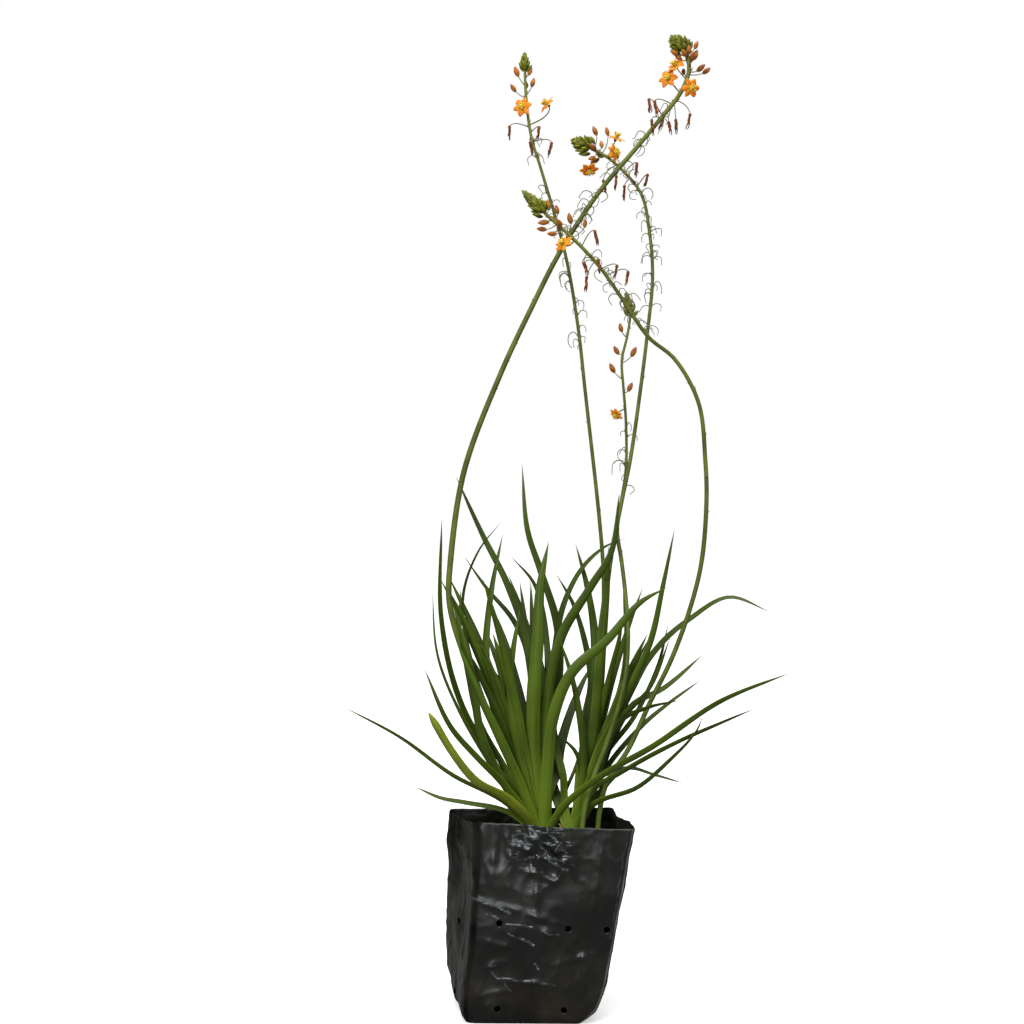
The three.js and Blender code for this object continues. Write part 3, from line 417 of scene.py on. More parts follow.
def settle(leaves, stalks):
    """Ease leaves that would cross apart, with their roots and the stalks held still."""
    spots = np.vstack([points for _, _, points in leaves])
    owner = np.concatenate([[i] * len(points) for i, (_, _, points) in enumerate(leaves)])
    shoot = np.concatenate([[s == "left"] * len(points) for s, _, points in leaves])
    place = np.concatenate([np.arange(len(points)) for _, _, points in leaves])
    size = np.concatenate([[0.5 * w * leaf_shape(i / (len(p) - 1)) for i in range(len(p))]
                           for _, w, p in leaves])
    free = smoothstep(place * BEAD, *ROOT_STIFF)
    loose = smoothstep(place * BEAD, *ROOT_HELD)
    still = np.vstack([points for _, points in stalks])
    still_size = np.concatenate([[s["width"][0] / 2] * len(points) for s, points in stalks])
    first = place == 0
    last = np.append(first[1:], True)
    index = np.arange(len(spots))
    before, after = np.where(first, index, index - 1), np.where(last, index, index + 1)

    def apart(push, a, b, way, need, share):
        distance = np.linalg.norm(way, axis=1)
        depth = way[:, 1]
        least = np.where(depth < 0, -LEAST_DEPTH, LEAST_DEPTH)
        depth = np.where(np.abs(depth) < LEAST_DEPTH, least, depth)
        way = way.copy()
        way[:, 1] = depth * (1 + 2 * smoothstep(spots[a, 2], *DEPTH_FIRST))
        way /= np.linalg.norm(way, axis=1)[:, None]
        np.add.at(push, a, way * ((need - distance) * share)[:, None])

    def near(a_spots, a_size, b_spots, b_size, gap):
        hits = []
        for start in range(0, len(a_spots), SETTLE_BATCH):
            batch = slice(start, start + SETTLE_BATCH)
            a = a_spots[batch]
            square = sum((a[:, k, None] - b_spots[None, :, k]) ** 2 for k in range(3))
            need = a_size[batch, None] + b_size[None] + gap
            i, j = np.nonzero(square < need * need)
            hits.append((i + start, j))
        return [np.concatenate(part) for part in zip(*hits)]

    for _ in range(SETTLE_ROUNDS):
        push = np.zeros_like(spots)
        a, b = near(spots, size, spots, size, SHOOT_SPACING)
        way = spots[a] - spots[b]
        full = size[a] + size[b]
        share = within(LEAF_CLEARANCE, np.minimum(free[a], free[b]))
        need = np.where(shoot[a] == shoot[b], full * share, full + SHOOT_SPACING)
        keep = (owner[a] != owner[b]) & (loose[a] > 0) & (np.sum(way ** 2, axis=1) < need ** 2)
        a, b, way, need = a[keep], b[keep], way[keep], need[keep]
        apart(push, a, b, way, need, LEAF_GIVE * free[a])
        a, b = near(spots, size, still, still_size, SHOOT_SPACING)
        keep = loose[a] > 0
        a, b = a[keep], b[keep]
        apart(push, a, b, spots[a] - still[b], size[a] + still_size[b] + SHOOT_SPACING,
              STALK_GIVE * loose[a])
        for _ in range(SETTLE_EASINGS):
            push = 0.25 * (push[before] + push[after]) + 0.5 * push
        spots = spots + push * (SETTLE_STEP * loose)[:, None]
    parts = np.split(spots, np.nonzero(first)[0][1:])
    return [(s, w, part) for (s, w, _), part in zip(leaves, parts)]


def round_section(angles):
    return np.cos(angles), np.sin(angles)


def leaf_section(angles):
    """A strap with thin edges, a soft keel on its outer face and a channel on its inner face."""
    across, deep = np.cos(angles), np.sin(angles)
    outer = 0.6 * np.abs(deep) ** 1.5 + 0.25 * (1 - np.abs(across)) ** 2
    inner = -0.5 * np.abs(deep) + 0.42 * deep ** 4
    return across, np.where(deep < 0, inner, outer)


def bud_section(angles):
    """A softly three-sided section."""
    swell = 1 + 0.07 * np.cos(3 * angles)
    return swell * np.cos(angles), swell * np.sin(angles)


def even_sizes(halves):
    """Sizes of a round tube, from its half widths."""
    return [(half, half) for half in halves]


SAME_SPOT = 1e-7


class Body:
    """A mesh in the making, with a map along each part and a tone for each part."""

    def __init__(self):
        self.bm = bmesh.new()
        self.map = self.bm.loops.layers.uv.new("run")
        self.tone = self.bm.verts.layers.float.new("tone")

    def grid(self, rows, finish=0, tone=0.5):
        """Lay a grid on rows of spots in millimetres, and join its sides and its ends."""
        rows = np.asarray(rows, float) * MM
        steps, sides = rows.shape[0] - 1, rows.shape[1] - 1
        made = bmesh.ops.create_grid(self.bm, x_segments=sides, y_segments=steps, size=1)["verts"]
        edge = []
        for v in made:
            j = round((v.co.x + 1) * sides / 2)
            i = round((v.co.y + 1) * steps / 2)
            for loop in v.link_loops:
                loop[self.map].uv = (j / sides, i / steps)
                loop.face.material_index = finish
                loop.face.smooth = True
            v.co = rows[i, j]
            v[self.tone] = tone
            if j in (0, sides) or i in (0, steps):
                edge.append(v)
        bmesh.ops.remove_doubles(self.bm, verts=edge, dist=SAME_SPOT)

    def tube(self, spots, side, sizes, sides, section, finish, tone, twist=0.0):
        """A closed tube along spots. sizes gives its half width and half depth at each spot."""
        spots = np.asarray(spots, float)
        ahead = np.vstack([spots[1] - spots[0], spots[2:] - spots[:-2], spots[-1] - spots[-2]])
        angles = np.linspace(0, 2 * math.pi, sides + 1)
        unit_across, unit_deep = section(angles)
        across = np.asarray(side, float)
        rows = []
        for i, (spot, way) in enumerate(zip(spots, ahead)):
            way = unit(way)
            across = unit(across - way * (across @ way))
            deep = np.cross(across, way)
            turn = twist * i / (len(spots) - 1)
            a = across * math.cos(turn) + deep * math.sin(turn)
            d = deep * math.cos(turn) - across * math.sin(turn)
            half, thick = sizes[i]
            rows.append(spot + np.outer(unit_across * half, a) + np.outer(unit_deep * thick, d))
        ends = [np.repeat(r.mean(axis=0)[None], sides + 1, axis=0) for r in (rows[0], rows[-1])]
        self.grid([ends[0]] + rows + [ends[1]], finish, tone)

    def lump(self, centre, way, half, radius, profile, sides, steps, finish, tone,
             section=round_section):
        """A closed body of revolution about a direction, its radius following a profile."""
        way = unit(way)
        t = np.linspace(0, 1, steps + 1)
        spots = centre + np.outer(2 * t - 1, way) * half
        sizes = even_sizes([radius * between(*profile, f) for f in t])
        # Any side will do that stands well off the direction
        side = (0.31, 0.9, 0.23) if abs(way[1]) < 0.9 else (0.9, 0.2, 0.3)
        self.tube(spots, side, sizes, sides, section, finish, tone)

    def piece(self, name, finishes, replaces):
        """Make the body a piece of the scene that replaces its nodes."""
        bm = self.bm
        bmesh.ops.recalc_face_normals(bm, faces=bm.faces)
        mesh = bpy.data.meshes.new(name)
        bm.to_mesh(mesh)
        bm.free()
        for finish in finishes:
            mesh.materials.append(finish)
        item = bpy.data.objects.new(name, mesh)
        bpy.context.scene.collection.objects.link(item)
        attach(item, "root")
        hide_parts(*replaces)
        return item


# Shader helpers

class Finish:
    """A material in the making, with short calls for its nodes."""

    def __init__(self, name, roughness):
        self.material = bpy.data.materials.new(name)
        self.material.use_nodes = True
        self.nodes = self.material.node_tree.nodes
        self.links = self.material.node_tree.links
        self.shader = self.nodes["Principled BSDF"]
        self.place = self.nodes.new("ShaderNodeTexCoord").outputs["Object"]
        self.give("Roughness", roughness)

    def feed(self, value, socket):
        """Set an input to a value, or join another node's output to it."""
        if isinstance(value, bpy.types.NodeSocket):
            self.links.new(value, socket)
        else:
            socket.default_value = value

    def give(self, key, value):
        """Feed an input of the surface itself."""
        self.feed(value, self.shader.inputs[key])

    def group(self, tree, **values):
        node = self.nodes.new("ShaderNodeGroup")
        node.node_tree = tree
        for key, value in values.items():
            self.feed(value, node.inputs[key.replace("_", " ")])
        return node.outputs

    def noise(self, scale, detail=3.0, place=None):
        node = self.nodes.new("ShaderNodeTexNoise")
        node.inputs["Scale"].default_value = scale
        node.inputs["Detail"].default_value = detail
        self.links.new(place or self.place, node.inputs["Vector"])
        return node.outputs["Fac"]

    def scaled(self, place, scale):
        """A place, scaled on each axis."""
        node = self.nodes.new("ShaderNodeMapping")
        node.inputs["Scale"].default_value = scale
        self.links.new(place, node.inputs["Vector"])
        return node.outputs["Vector"]

    def mapped(self):
        """The piece's own map: round a part on X and along it on Y, 0 to 1."""
        node = self.nodes.new("ShaderNodeUVMap")
        node.uv_map = "run"
        return node.outputs["UV"]

    def tone(self):
        """The tone that each part of the mesh carries."""
        node = self.nodes.new("ShaderNodeAttribute")
        node.attribute_name = "tone"
        return node.outputs["Fac"]

    def ramp(self, factor, stops):
        node = self.nodes.new("ShaderNodeValToRGB")
        points = node.color_ramp.elements
        while len(points) < len(stops):
            points.new(0.5)
        for point, (position, colour) in zip(points, stops):
            point.position = position
            point.color = colour
        self.links.new(factor, node.inputs["Fac"])
        return node.outputs["Color"]

    def mix(self, factor, a, b, blend="MIX"):
        """Colour a with a share of colour b."""
        node = self.nodes.new("ShaderNodeMix")
        node.data_type = "RGBA"
        node.blend_type = blend
        for value, key in ((factor, 0), (a, 6), (b, 7)):
            self.feed(value, node.inputs[key])
        return node.outputs[2]

    def number(self, value, low, high, out_low=0.0, out_high=1.0):
        """A value carried from one range to another and held inside it."""
        node = self.nodes.new("ShaderNodeMapRange")
        self.links.new(value, node.inputs["Value"])
        for key, amount in (("From Min", low), ("From Max", high), ("To Min", out_low),
                            ("To Max", out_high)):
            node.inputs[key].default_value = amount
        return node.outputs["Result"]

    def axis(self, vector, name):
        """One of a place's three numbers."""
        node = self.nodes.new("ShaderNodeSeparateXYZ")
        self.links.new(vector, node.inputs["Vector"])
        return node.outputs[name]

    def math(self, kind, a, b=0.0):
        node = self.nodes.new("ShaderNodeMath")
        node.operation = kind
        self.feed(a, node.inputs[0])
        self.feed(b, node.inputs[1])
        return node.outputs["Value"]

    def times(self, a, b):
        return self.math("MULTIPLY", a, b)

    def plus(self, a, b):
        return self.math("ADD", a, b)

    def apart(self, a, b):
        """The difference of two values, without its sign."""
        return self.math("ABSOLUTE", self.math("SUBTRACT", a, b))

    def bump(self, height, strength, distance):
        node = self.nodes.new("ShaderNodeBump")
        node.inputs["Strength"].default_value = strength
        node.inputs["Distance"].default_value = distance
        self.links.new(height, node.inputs["Height"])
        self.give("Normal", node.outputs["Normal"])

    def soak(self, radius):
        """Let light into thin tissue, to a depth in metres for red, green and blue."""
        self.give("Subsurface Weight", 0.6)
        self.give("Subsurface Scale", 1.0)
        self.give("Subsurface Radius", radius)


def group_of(name, inputs, outputs):
    """A shader node group with named inputs and outputs."""
    tree = bpy.data.node_groups.new(name, "ShaderNodeTree")
    for label, kind, value in inputs:
        socket = tree.interface.new_socket(name=label, in_out="INPUT", socket_type=kind)
        socket.default_value = value
    for label, kind in outputs:
        tree.interface.new_socket(name=label, in_out="OUTPUT", socket_type=kind)
    return tree, tree.nodes.new("NodeGroupInput"), tree.nodes.new("NodeGroupOutput")


def mottle_group():
    """Soft blotches with a fine grain: a colour between two tones, and a height."""
    found = bpy.data.node_groups.get("mottle")
    if found:
        return found
    tree, begin, end = group_of("mottle", [
        ("Scale", "NodeSocketFloat", 120.0), ("Grain Scale", "NodeSocketFloat", 900.0),
        ("Dark", "NodeSocketColor", (0, 0, 0, 1)), ("Light", "NodeSocketColor", (1, 1, 1, 1)),
    ], [("Color", "NodeSocketColor"), ("Height", "NodeSocketFloat")])
    nodes, links = tree.nodes, tree.links
    place = nodes.new("ShaderNodeTexCoord").outputs["Object"]
    broad, fine = nodes.new("ShaderNodeTexNoise"), nodes.new("ShaderNodeTexNoise")
    for node, key, detail in ((broad, "Scale", 4.0), (fine, "Grain Scale", 2.0)):
        links.new(place, node.inputs["Vector"])
        links.new(begin.outputs[key], node.inputs["Scale"])
        node.inputs["Detail"].default_value = detail
    spread = nodes.new("ShaderNodeMapRange")
    spread.inputs["From Min"].default_value = 0.35
    spread.inputs["From Max"].default_value = 0.65
    links.new(broad.outputs["Fac"], spread.inputs["Value"])
    mix = nodes.new("ShaderNodeMix")
    mix.data_type = "RGBA"
    links.new(spread.outputs["Result"], mix.inputs[0])
    links.new(begin.outputs["Dark"], mix.inputs[6])
    links.new(begin.outputs["Light"], mix.inputs[7])
    grain_share = 0.4
    add = nodes.new("ShaderNodeMath")
    add.operation = "MULTIPLY_ADD"
    add.inputs[1].default_value = grain_share
    links.new(fine.outputs["Fac"], add.inputs[0])
    links.new(broad.outputs["Fac"], add.inputs[2])
    links.new(mix.outputs[2], end.inputs["Color"])
    links.new(add.outputs["Value"], end.inputs["Height"])
    return tree


WHITE = (1, 1, 1, 1)
STREAK_GREY = (0.35, 0.35, 0.35, 1)
TONE_RANGE = (0.6, 1.35)


def plant_finish(name, dark, light, roughness, scale, tips=None, root=None, streaks=0.0,
                 bump=0.0002, lines=26, specular=0.5):
    """Plant skin: a tone for each part, blotches, streaks along it, and its own ends.

    tips and root each give a colour and the place along a part where it begins.
    """
    made = Finish(name, roughness)
    made.give("Specular IOR Level", specular)
    blotch = made.group(mottle_group(), Scale=scale, Dark=dark, Light=light)
    toned = made.nodes.new("ShaderNodeVectorMath")
    toned.operation = "SCALE"
    made.feed(blotch["Color"], toned.inputs[0])
    made.feed(made.number(made.tone(), 0, 1, *TONE_RANGE), toned.inputs["Scale"])
    colour = toned.outputs["Vector"]
    if streaks:
        drawn = made.noise(1.0, 2.0, made.scaled(made.mapped(), (lines, 1.6, 1)))
        drawn = made.ramp(drawn, [(0.35, STREAK_GREY), (0.65, WHITE)])
        colour = made.mix(streaks, colour, drawn, "MULTIPLY")
    along = made.axis(made.mapped(), "Y")
    for end, place in ((root, 0), (tips, 1)):
        if end:
            colour = made.mix(made.number(along, end[1], place), colour, end[0])
    made.give("Base Color", colour)
    made.bump(blotch["Height"], 0.6, bump)
    return made


# Film bag and soil

# The rim's height at numbered points of the outline
RIM = [(1, 142.0), (5, 139.5), (8.6, 138.4), (9.4, 138.2), (10.4, 141.5), (12, 140), (15, 140),
       (18, 139.5), (22, 139), (25, 136), (28, 142.0)]
CORNER_POINTS = 3
POINTS_ROUND = sum(SIDE_POINTS) + 4 * CORNER_POINTS
BAG_ROUND = 410
FILM_STEP = 1.3
FOOT_LEVELS = [0, 0.4, 1.0, 1.8, 2.8, 4.0]
WALL_LEVELS = (5.2, BAG_HEIGHT, 106)
BASE_RINGS = (0, 0.4, 0.75, 0.93)
HOLE_RADIUS = 2.2
PUNCH_LENGTH = 14

# Film nearer the camera than this belongs to the bag's front
FRONT = -20

# Crumples of the film: size, sharpness, height, and the shift that sets each apart
CRUMPLES = [(24, 2.6, 1.5, (0, 0, 0)), (13, 2.4, 0.7, (50, 0, 9)), (7, 2.4, 0.2, (0, 80, 0))]
RIDGE_MEAN = 0.25
CREASE_RISE = 1.9
CREASE_REACH = 10
FINE_CREASE_WIDTH = 1.15

# The bunched film under the middle of the rim: across, height, reach across, reach in height
BUNCH = (3, 125, 17, 13)
BUNCH_RISE = 3.2

# Stretches of height: the busier crumples near the rim and near the base, the free rim,
# where the rim's own shape sets in, and the flat foot
BUSY_TOP = (84, 124)
BUSY_BASE = (4, 34)
FREE_RIM = (117, 139)
RIM_SETS_IN = (112, BAG_HEIGHT)
FLAT_FOOT = (0.5, 7)

# Painted highlights along the folds: outline point, width in millimetres, strength
FOLD_HIGHLIGHTS = [(8.4, 0.8, 0.6), (12, 0.8, 0.4)]

# The open gusset, where painted shade darkens the film: from and to a point of the outline
GUSSET = (22.2, 1.4)

SOIL_BROWN = shade("2f241a")
# Painted shade on the gusset
GUSSET_PAINTED_SHADE = shade("060705")
# Painted highlight along the folds
FOLD_HIGHLIGHT_GREY = shade("8f928c")
# Whitened creases with painted glints
CREASE_WHITENING_AND_GLINT_GREY = shade("8a929c")

SOIL_STEP = 2.2
SOIL_RINGS = 38
SOIL_EDGE = SOIL_TOP - 0.6
SOIL_LEVELS = [SOIL_TOP - 5, 100, 70, 40, 12, 3]
SOIL_FOOT = 1.0
# Lumps of the soil: height, size, and the layer of noise that each is read from
SOIL_LUMPS = [(1.5, 9, 1), (0.8, 3.2, 5)]
CRUMB_SEED = 23


def bag_outline(z):
    """The bag's outline at a height, as the solid has it."""
    keys = [plan[0] for plan in BAG_PLANS]
    corner = [np.array([between(keys, [plan[1][k][a] for plan in BAG_PLANS], z) for a in (0, 1)])
              for k in range(4)]
    fullness = math.sin(math.pi * min(max(z, 0) / BAG_HEIGHT, 1) ** 0.7)
    rim = (max(z, 0) / BAG_HEIGHT) ** 2
    points = []
    for k in range(4):
        here, ahead_corner, back_corner = corner[k], corner[(k + 1) % 4], corner[(k + 3) % 4]
        back = here + unit(back_corner - here) * CORNER_ROUND[k]
        ahead = here + unit(ahead_corner - here) * CORNER_ROUND[k]
        for f in np.linspace(0, 1, CORNER_POINTS):
            points.append((1 - f) ** 2 * back + 2 * f * (1 - f) * here + f * f * ahead)
        run = ahead_corner - here
        out = unit(np.array([run[1], -run[0]]))
        bulge = SIDE_BULGE[k] * (fullness if SIDE_BULGE[k] > 0 else rim)
        for i in range(1, SIDE_POINTS[k] + 1):
            f = i / (SIDE_POINTS[k] + 1)
            wave = 0.9 * fullness * math.sin(9 * f + 0.06 * z + 2 * k)
            points.append(here + run * (0.1 + 0.8 * f)
                          + out * (bulge * math.sin(math.pi * f) + wave))
    return np.array(points)


def columns(step):
    """Places round the outline, as numbers of its points, about a step apart."""
    points = bag_outline(100)
    lengths = np.linalg.norm(np.roll(points, -1, axis=0) - points, axis=1)
    return np.concatenate([i + np.arange(n) / n for i, n in
                           enumerate(np.maximum(np.round(lengths / step), 1).astype(int))])


def smooth_round(points, places):
    """Points on the smooth closed curve through an outline."""
    i = np.floor(places).astype(int)
    f = (places - i)[:, None]
    a, b, c, d = (points[(i + k) % len(points)] for k in (-1, 0, 1, 2))
    tight = 0.4
    return ((2 * f ** 3 - 3 * f ** 2 + 1) * b + (3 * f ** 2 - 2 * f ** 3) * c
            + tight * (f ** 3 - 2 * f ** 2 + f) * (c - a) + tight * (f ** 3 - f ** 2) * (d - b))


def ridge(x, y, z, scale, sharp):
    """Rounded ridges between flats, 0 to 1."""
    value = noise.noise(Vector((x / scale, y / scale, z / (1.3 * scale))))
    return max(0.0, 1 - abs(value) * sharp) ** 2


def along_crease(x, z, start, end):
    """How far along a crease a place lies, 0 to 1, and how far off it."""
    run_x, run_z = end[0] - start[0], end[1] - start[1]
    f = ((x - start[0]) * run_x + (z - start[1]) * run_z) / math.hypot(run_x, run_z) ** 2
    f = min(max(f, 0), 1)
    return f, math.hypot(x - start[0] - f * run_x, z - start[1] - f * run_z)


def crease_height(x, z):
    """Height of the creases drawn on the front of the film."""
    height = 0.0
    for start, end, size in FRONT_CREASES:
        f, away = along_crease(x, z, start, end)
        if away < CREASE_REACH:
            wide = 1.3 + 1.2 * math.sin(math.pi * f)
            fade = math.sin(math.pi * (0.12 + 0.76 * f))
            fade *= 0.7 + 0.9 * noise.noise(Vector((x / 8, z / 8, 11)))
            height += size * fade * math.exp(-(away / wide) ** 2)
    return height


def crease_whitening_and_glint(x, y, z):
    """How whitened the film is by the fine creases of its front, with painted glints along them, 0
    to 1.
    """
    mark = 0.0
    if y > FRONT:
        return mark
    x += 1.2 * noise.noise(Vector((x / 7, z / 7, 2)))
    z += 1.6 * noise.noise(Vector((x / 9, z / 9, 8)))
    for start, end, strength in FINE_CREASES:
        _, away = along_crease(x, z, start, end)
        mark = max(mark, strength * math.exp(-(away / FINE_CREASE_WIDTH) ** 2))
    return mark


def crumple(x, y, z, depth):
    """How far the film stands out at a place, in millimetres."""
    top = float(smoothstep(z, *BUSY_TOP))
    low = 1 - float(smoothstep(z, *BUSY_BASE))
    middle = math.exp(-((x - 2) / 34) ** 2) if y < FRONT else 0.5
    busy = 0.45 + 0.75 * top * (0.35 + 0.65 * middle) + 0.5 * low
    height = 1.4 * noise.noise(Vector((x / 31, y / 31, z / 27)))
    for size, sharp, high, (right, back, up) in CRUMPLES:
        height += high * busy * (ridge(x + right, y + back, z + up, size, sharp) - RIDGE_MEAN)
    if y < FRONT:
        height += CREASE_RISE * crease_height(x, z)
        across, level, wide, tall = BUNCH
        bunched = math.exp(-((x - across) / wide) ** 2 - ((z - level) / tall) ** 2)
        height += BUNCH_RISE * bunched * (ridge(x, 7, 1.5 * z, 13, 2.2) - 0.3)
    free = float(smoothstep(z, *FREE_RIM))
    height += 2.4 * free * noise.noise(Vector((x / 17, y / 17, z / 34 + 7)))
    return height * depth * float(smoothstep(z, *FLAT_FOOT))


def film_rows(places, levels, inset, depth):
    """Rows of spots on the film at the given heights."""
    rim_at = np.interp((places - 1) % POINTS_ROUND + 1, *zip(*RIM))
    rows = []
    for z in levels:
        raised = float(smoothstep(z, *RIM_SETS_IN))
        shape = smooth_round(bag_outline(z), places)
        way = np.roll(shape, -1, axis=0) - np.roll(shape, 1, axis=0)
        out = np.column_stack([way[:, 1], -way[:, 0]])
        out /= np.linalg.norm(out, axis=1)[:, None]
        lift = [crumple(x, y, z, depth) for x, y in shape]
        spots = shape + out * (np.array(lift) - inset)[:, None]
        ragged = [0.3 * noise.noise(Vector((x / 9, y / 9, 3))) for x, y in shape]
        up = z + raised * (rim_at - BAG_HEIGHT + np.array(ragged))
        rows.append(np.column_stack([spots, up]))
    return rows


def closed_rows(rows):
    """Rows that end where they begin."""
    return [np.vstack([row, row[:1]]) for row in rows]


def shrunk(row, share, z):
    """A row drawn in toward its middle and laid level."""
    middle = row.mean(axis=0)
    spots = middle + (row - middle) * share
    spots[:, 2] = z
    return spots


class BagSettings(bpy.types.PropertyGroup):
    film: bpy.props.FloatProperty(
        name="Film", description="Thickness of the bag's film", default=0.4 * MM, unit="LENGTH")
    depth: bpy.props.FloatProperty(
        name="Crumple", description="Depth of the creases, 1 as made", default=1.0)
    black: bpy.props.FloatVectorProperty(
        name="Film colour", description="Colour of the clean film", subtype="COLOR", size=4,
        default=shade("090a07"))
    # The dust colour also stands for painted sheen on the film
    dust_and_sheen: bpy.props.FloatVectorProperty(
        name="Dust colour", description="Colour where soil dust clings to the film",
        subtype="COLOR", size=4, default=shade("1b1d15"))


def film_dust_and_sheen(made, height):
    """How much the film is lightened by dust and painted sheen: patches, more near the rim, broken
    by specks.
    """
    patches = made.number(made.noise(22, 5.0), 0.42, 0.68, 0.0, 0.75)
    upper = made.number(height, 0.075, 0.13, 0.0, 0.35)
    speck = made.number(made.noise(420, 3.0), 0.3, 0.62, 0.5, 1.0)
    return made.times(made.plus(patches, upper), speck)


def gusset_painted_shade(made, around, gusset):
    """How much painted shade darkens the film on the folded side of the bag, between two places
    round it.
    """
    begin, end = gusset
    inside = made.math("MAXIMUM", made.number(around, begin - 0.006, begin),
                       made.number(around, end, end + 0.004, 1.0, 0.0))
    return made.times(inside, made.number(made.noise(31, 2.0), 0.42, 0.6, 1.0, 0.45))


def bunched_film(made, height):
    """Where the film is bunched under the middle of the rim."""
    away = made.apart(made.axis(made.place, "X"), BUNCH[0] * MM)
    return made.times(made.number(away, 0.01, 0.028, 1.0, 0.0), made.number(height, 0.1, 0.122))


def film_finish(settings, folds, gusset):
    """Black film: a soft gloss with dull patches of dust and painted sheen, whitened creases with
    painted glints, painted highlights along the folds and painted shade on the gusset.
    """
    made = Finish("black_film", 0.2)
    height = made.axis(made.place, "Z")
    around = made.axis(made.mapped(), "X")
    # Patches of dust and painted sheen, more near the rim
    cover = film_dust_and_sheen(made, height)
    colour = made.mix(cover, settings.black, settings.dust_and_sheen)
    splashed = made.times(made.number(height, 0.055, 0.0, 0.0, 0.8),
                          made.number(made.noise(55, 4.0), 0.42, 0.65))
    colour = made.mix(splashed, colour, SOIL_BROWN)
    # Painted shade on the gusset: a darker colour and a weaker reflection
    shaded = gusset_painted_shade(made, around, gusset)
    colour = made.mix(made.times(shaded, 0.7), colour, GUSSET_PAINTED_SHADE)
    # Painted highlights along the folds, in a lighter grey
    for fold, width, share in folds:
        fold_highlight = made.times(made.number(made.apart(around, fold), 0.0, width, share, 0.0),
                          made.number(made.noise(60, 3.0), 0.35, 0.6, 0.4, 1.0))
        colour = made.mix(fold_highlight, colour, FOLD_HIGHLIGHT_GREY)
    # Whitened creases with painted glints, carried by the tone
    lines = made.times(made.number(made.tone(), 0.34, 0.92),
                       made.number(made.noise(210, 3.0), 0.38, 0.6, 0.1, 1.0))
    made.give("Base Color", made.mix(made.times(lines, 0.5), colour, CREASE_WHITENING_AND_GLINT_GREY))
    # Weaker reflection in the painted shade of the gusset
    made.give("Specular IOR Level", made.number(shaded, 0.0, 1.0, 0.37, 0.08))
    bunched = bunched_film(made, height)
    dull = made.number(made.plus(cover, made.noise(70, 3.0)), 0.35, 1.4, 0.28, 0.5)
    shiny = made.math("MAXIMUM", made.times(bunched, 0.12), made.times(lines, 0.16))
    made.give("Roughness", made.math("SUBTRACT", dull, shiny))
    wrinkle = made.apart(made.noise(1.0, 1.0, made.scaled(made.place, (55, 55, 150))), 0.5)
    wrinkles = made.times(bunched, made.number(wrinkle, 0.0, 0.1, 0.5, 0.0))
    uneven = made.plus(wrinkles, made.times(made.noise(60, 2.0), 0.3))
    made.bump(made.plus(uneven, made.times(lines, 0.9)), 0.6, 0.0011)
    return made.material


def hole_punch(context):
    """Rods that stand where the drain holes are to be cut."""
    rods = bmesh.new()
    side_start = np.concatenate([[0], np.cumsum(SIDE_POINTS)])
    for side, share, z in DRAIN_HOLES:
        first = side_start[side] + CORNER_POINTS * (side + 1) - 1
        place = first + share * (SIDE_POINTS[side] + 1)
        shape = bag_outline(z)
        a, b = (shape[(int(place) + k) % len(shape)] for k in (0, 1))
        spot = a + (b - a) * (place - int(place))
        run = unit(b - a)
        rod = bmesh.ops.create_cone(rods, cap_ends=True, segments=20, radius1=HOLE_RADIUS * MM,
                                    radius2=HOLE_RADIUS * MM, depth=PUNCH_LENGTH * MM)["verts"]
        way = Vector((run[1], -run[0], 0))
        turn = way.to_track_quat("Z", "Y").to_matrix().to_4x4()
        bmesh.ops.transform(rods, matrix=turn, verts=rod)
        bmesh.ops.translate(rods, vec=Vector((*spot, z)) * MM, verts=rod)
    mesh = bpy.data.meshes.new("hole_punch")
    rods.to_mesh(mesh)
    rods.free()
    punch = bpy.data.objects.new("hole_punch", mesh)
    context.scene.collection.objects.link(punch)
    return punch


def thicken_and_punch(context, item, film):
    """Give the film its thickness and cut the drain holes through it."""
    punch = hole_punch(context)
    wall = item.modifiers.new("wall", "SOLIDIFY")
    wall.thickness = film
    wall.offset = -1
    cut = item.modifiers.new("holes", "BOOLEAN")
    cut.operation = "DIFFERENCE"
    cut.solver = "EXACT"
    cut.object = punch
    graph = context.evaluated_depsgraph_get()
    finished = bpy.data.meshes.new_from_object(item.evaluated_get(graph))
    item.modifiers.clear()
    item.data = finished
    bpy.data.objects.remove(punch)
    for face in finished.polygons:
        face.use_smooth = True


class BULBINE_OT_bag(bpy.types.Operator):
    """Model the crumpled black film bag with its drain holes"""
    bl_idname = "bulbine.bag"
    bl_label = "Film bag"

    def execute(self, context):
        settings = context.scene.bulbine_bag
        places = columns(FILM_STEP)
        levels = np.concatenate([FOOT_LEVELS, np.linspace(*WALL_LEVELS)])
        rows = film_rows(places, levels, 0, settings.depth)
        base = [shrunk(rows[0], share, 0.0) for share in BASE_RINGS]
        body = Body()
        body.grid(closed_rows(base + rows))
        for v in body.bm.verts:
            # The tone carries the whitened creases and their painted glints
            v[body.tone] = crease_whitening_and_glint(*(v.co / MM))

        def share_round(point):
            return np.searchsorted(places, point) / len(places)

        # Painted highlights along the folds, as shares of the way round
        folds = [(share_round(point), width / BAG_ROUND, strength)
                 for point, width, strength in FOLD_HIGHLIGHTS]
        finish = film_finish(settings, folds, [share_round(point) for point in GUSSET])
        item = body.piece("film_bag", [finish], ["nursery_bag"])
        thicken_and_punch(context, item, settings.film)
        return {"FINISHED"}


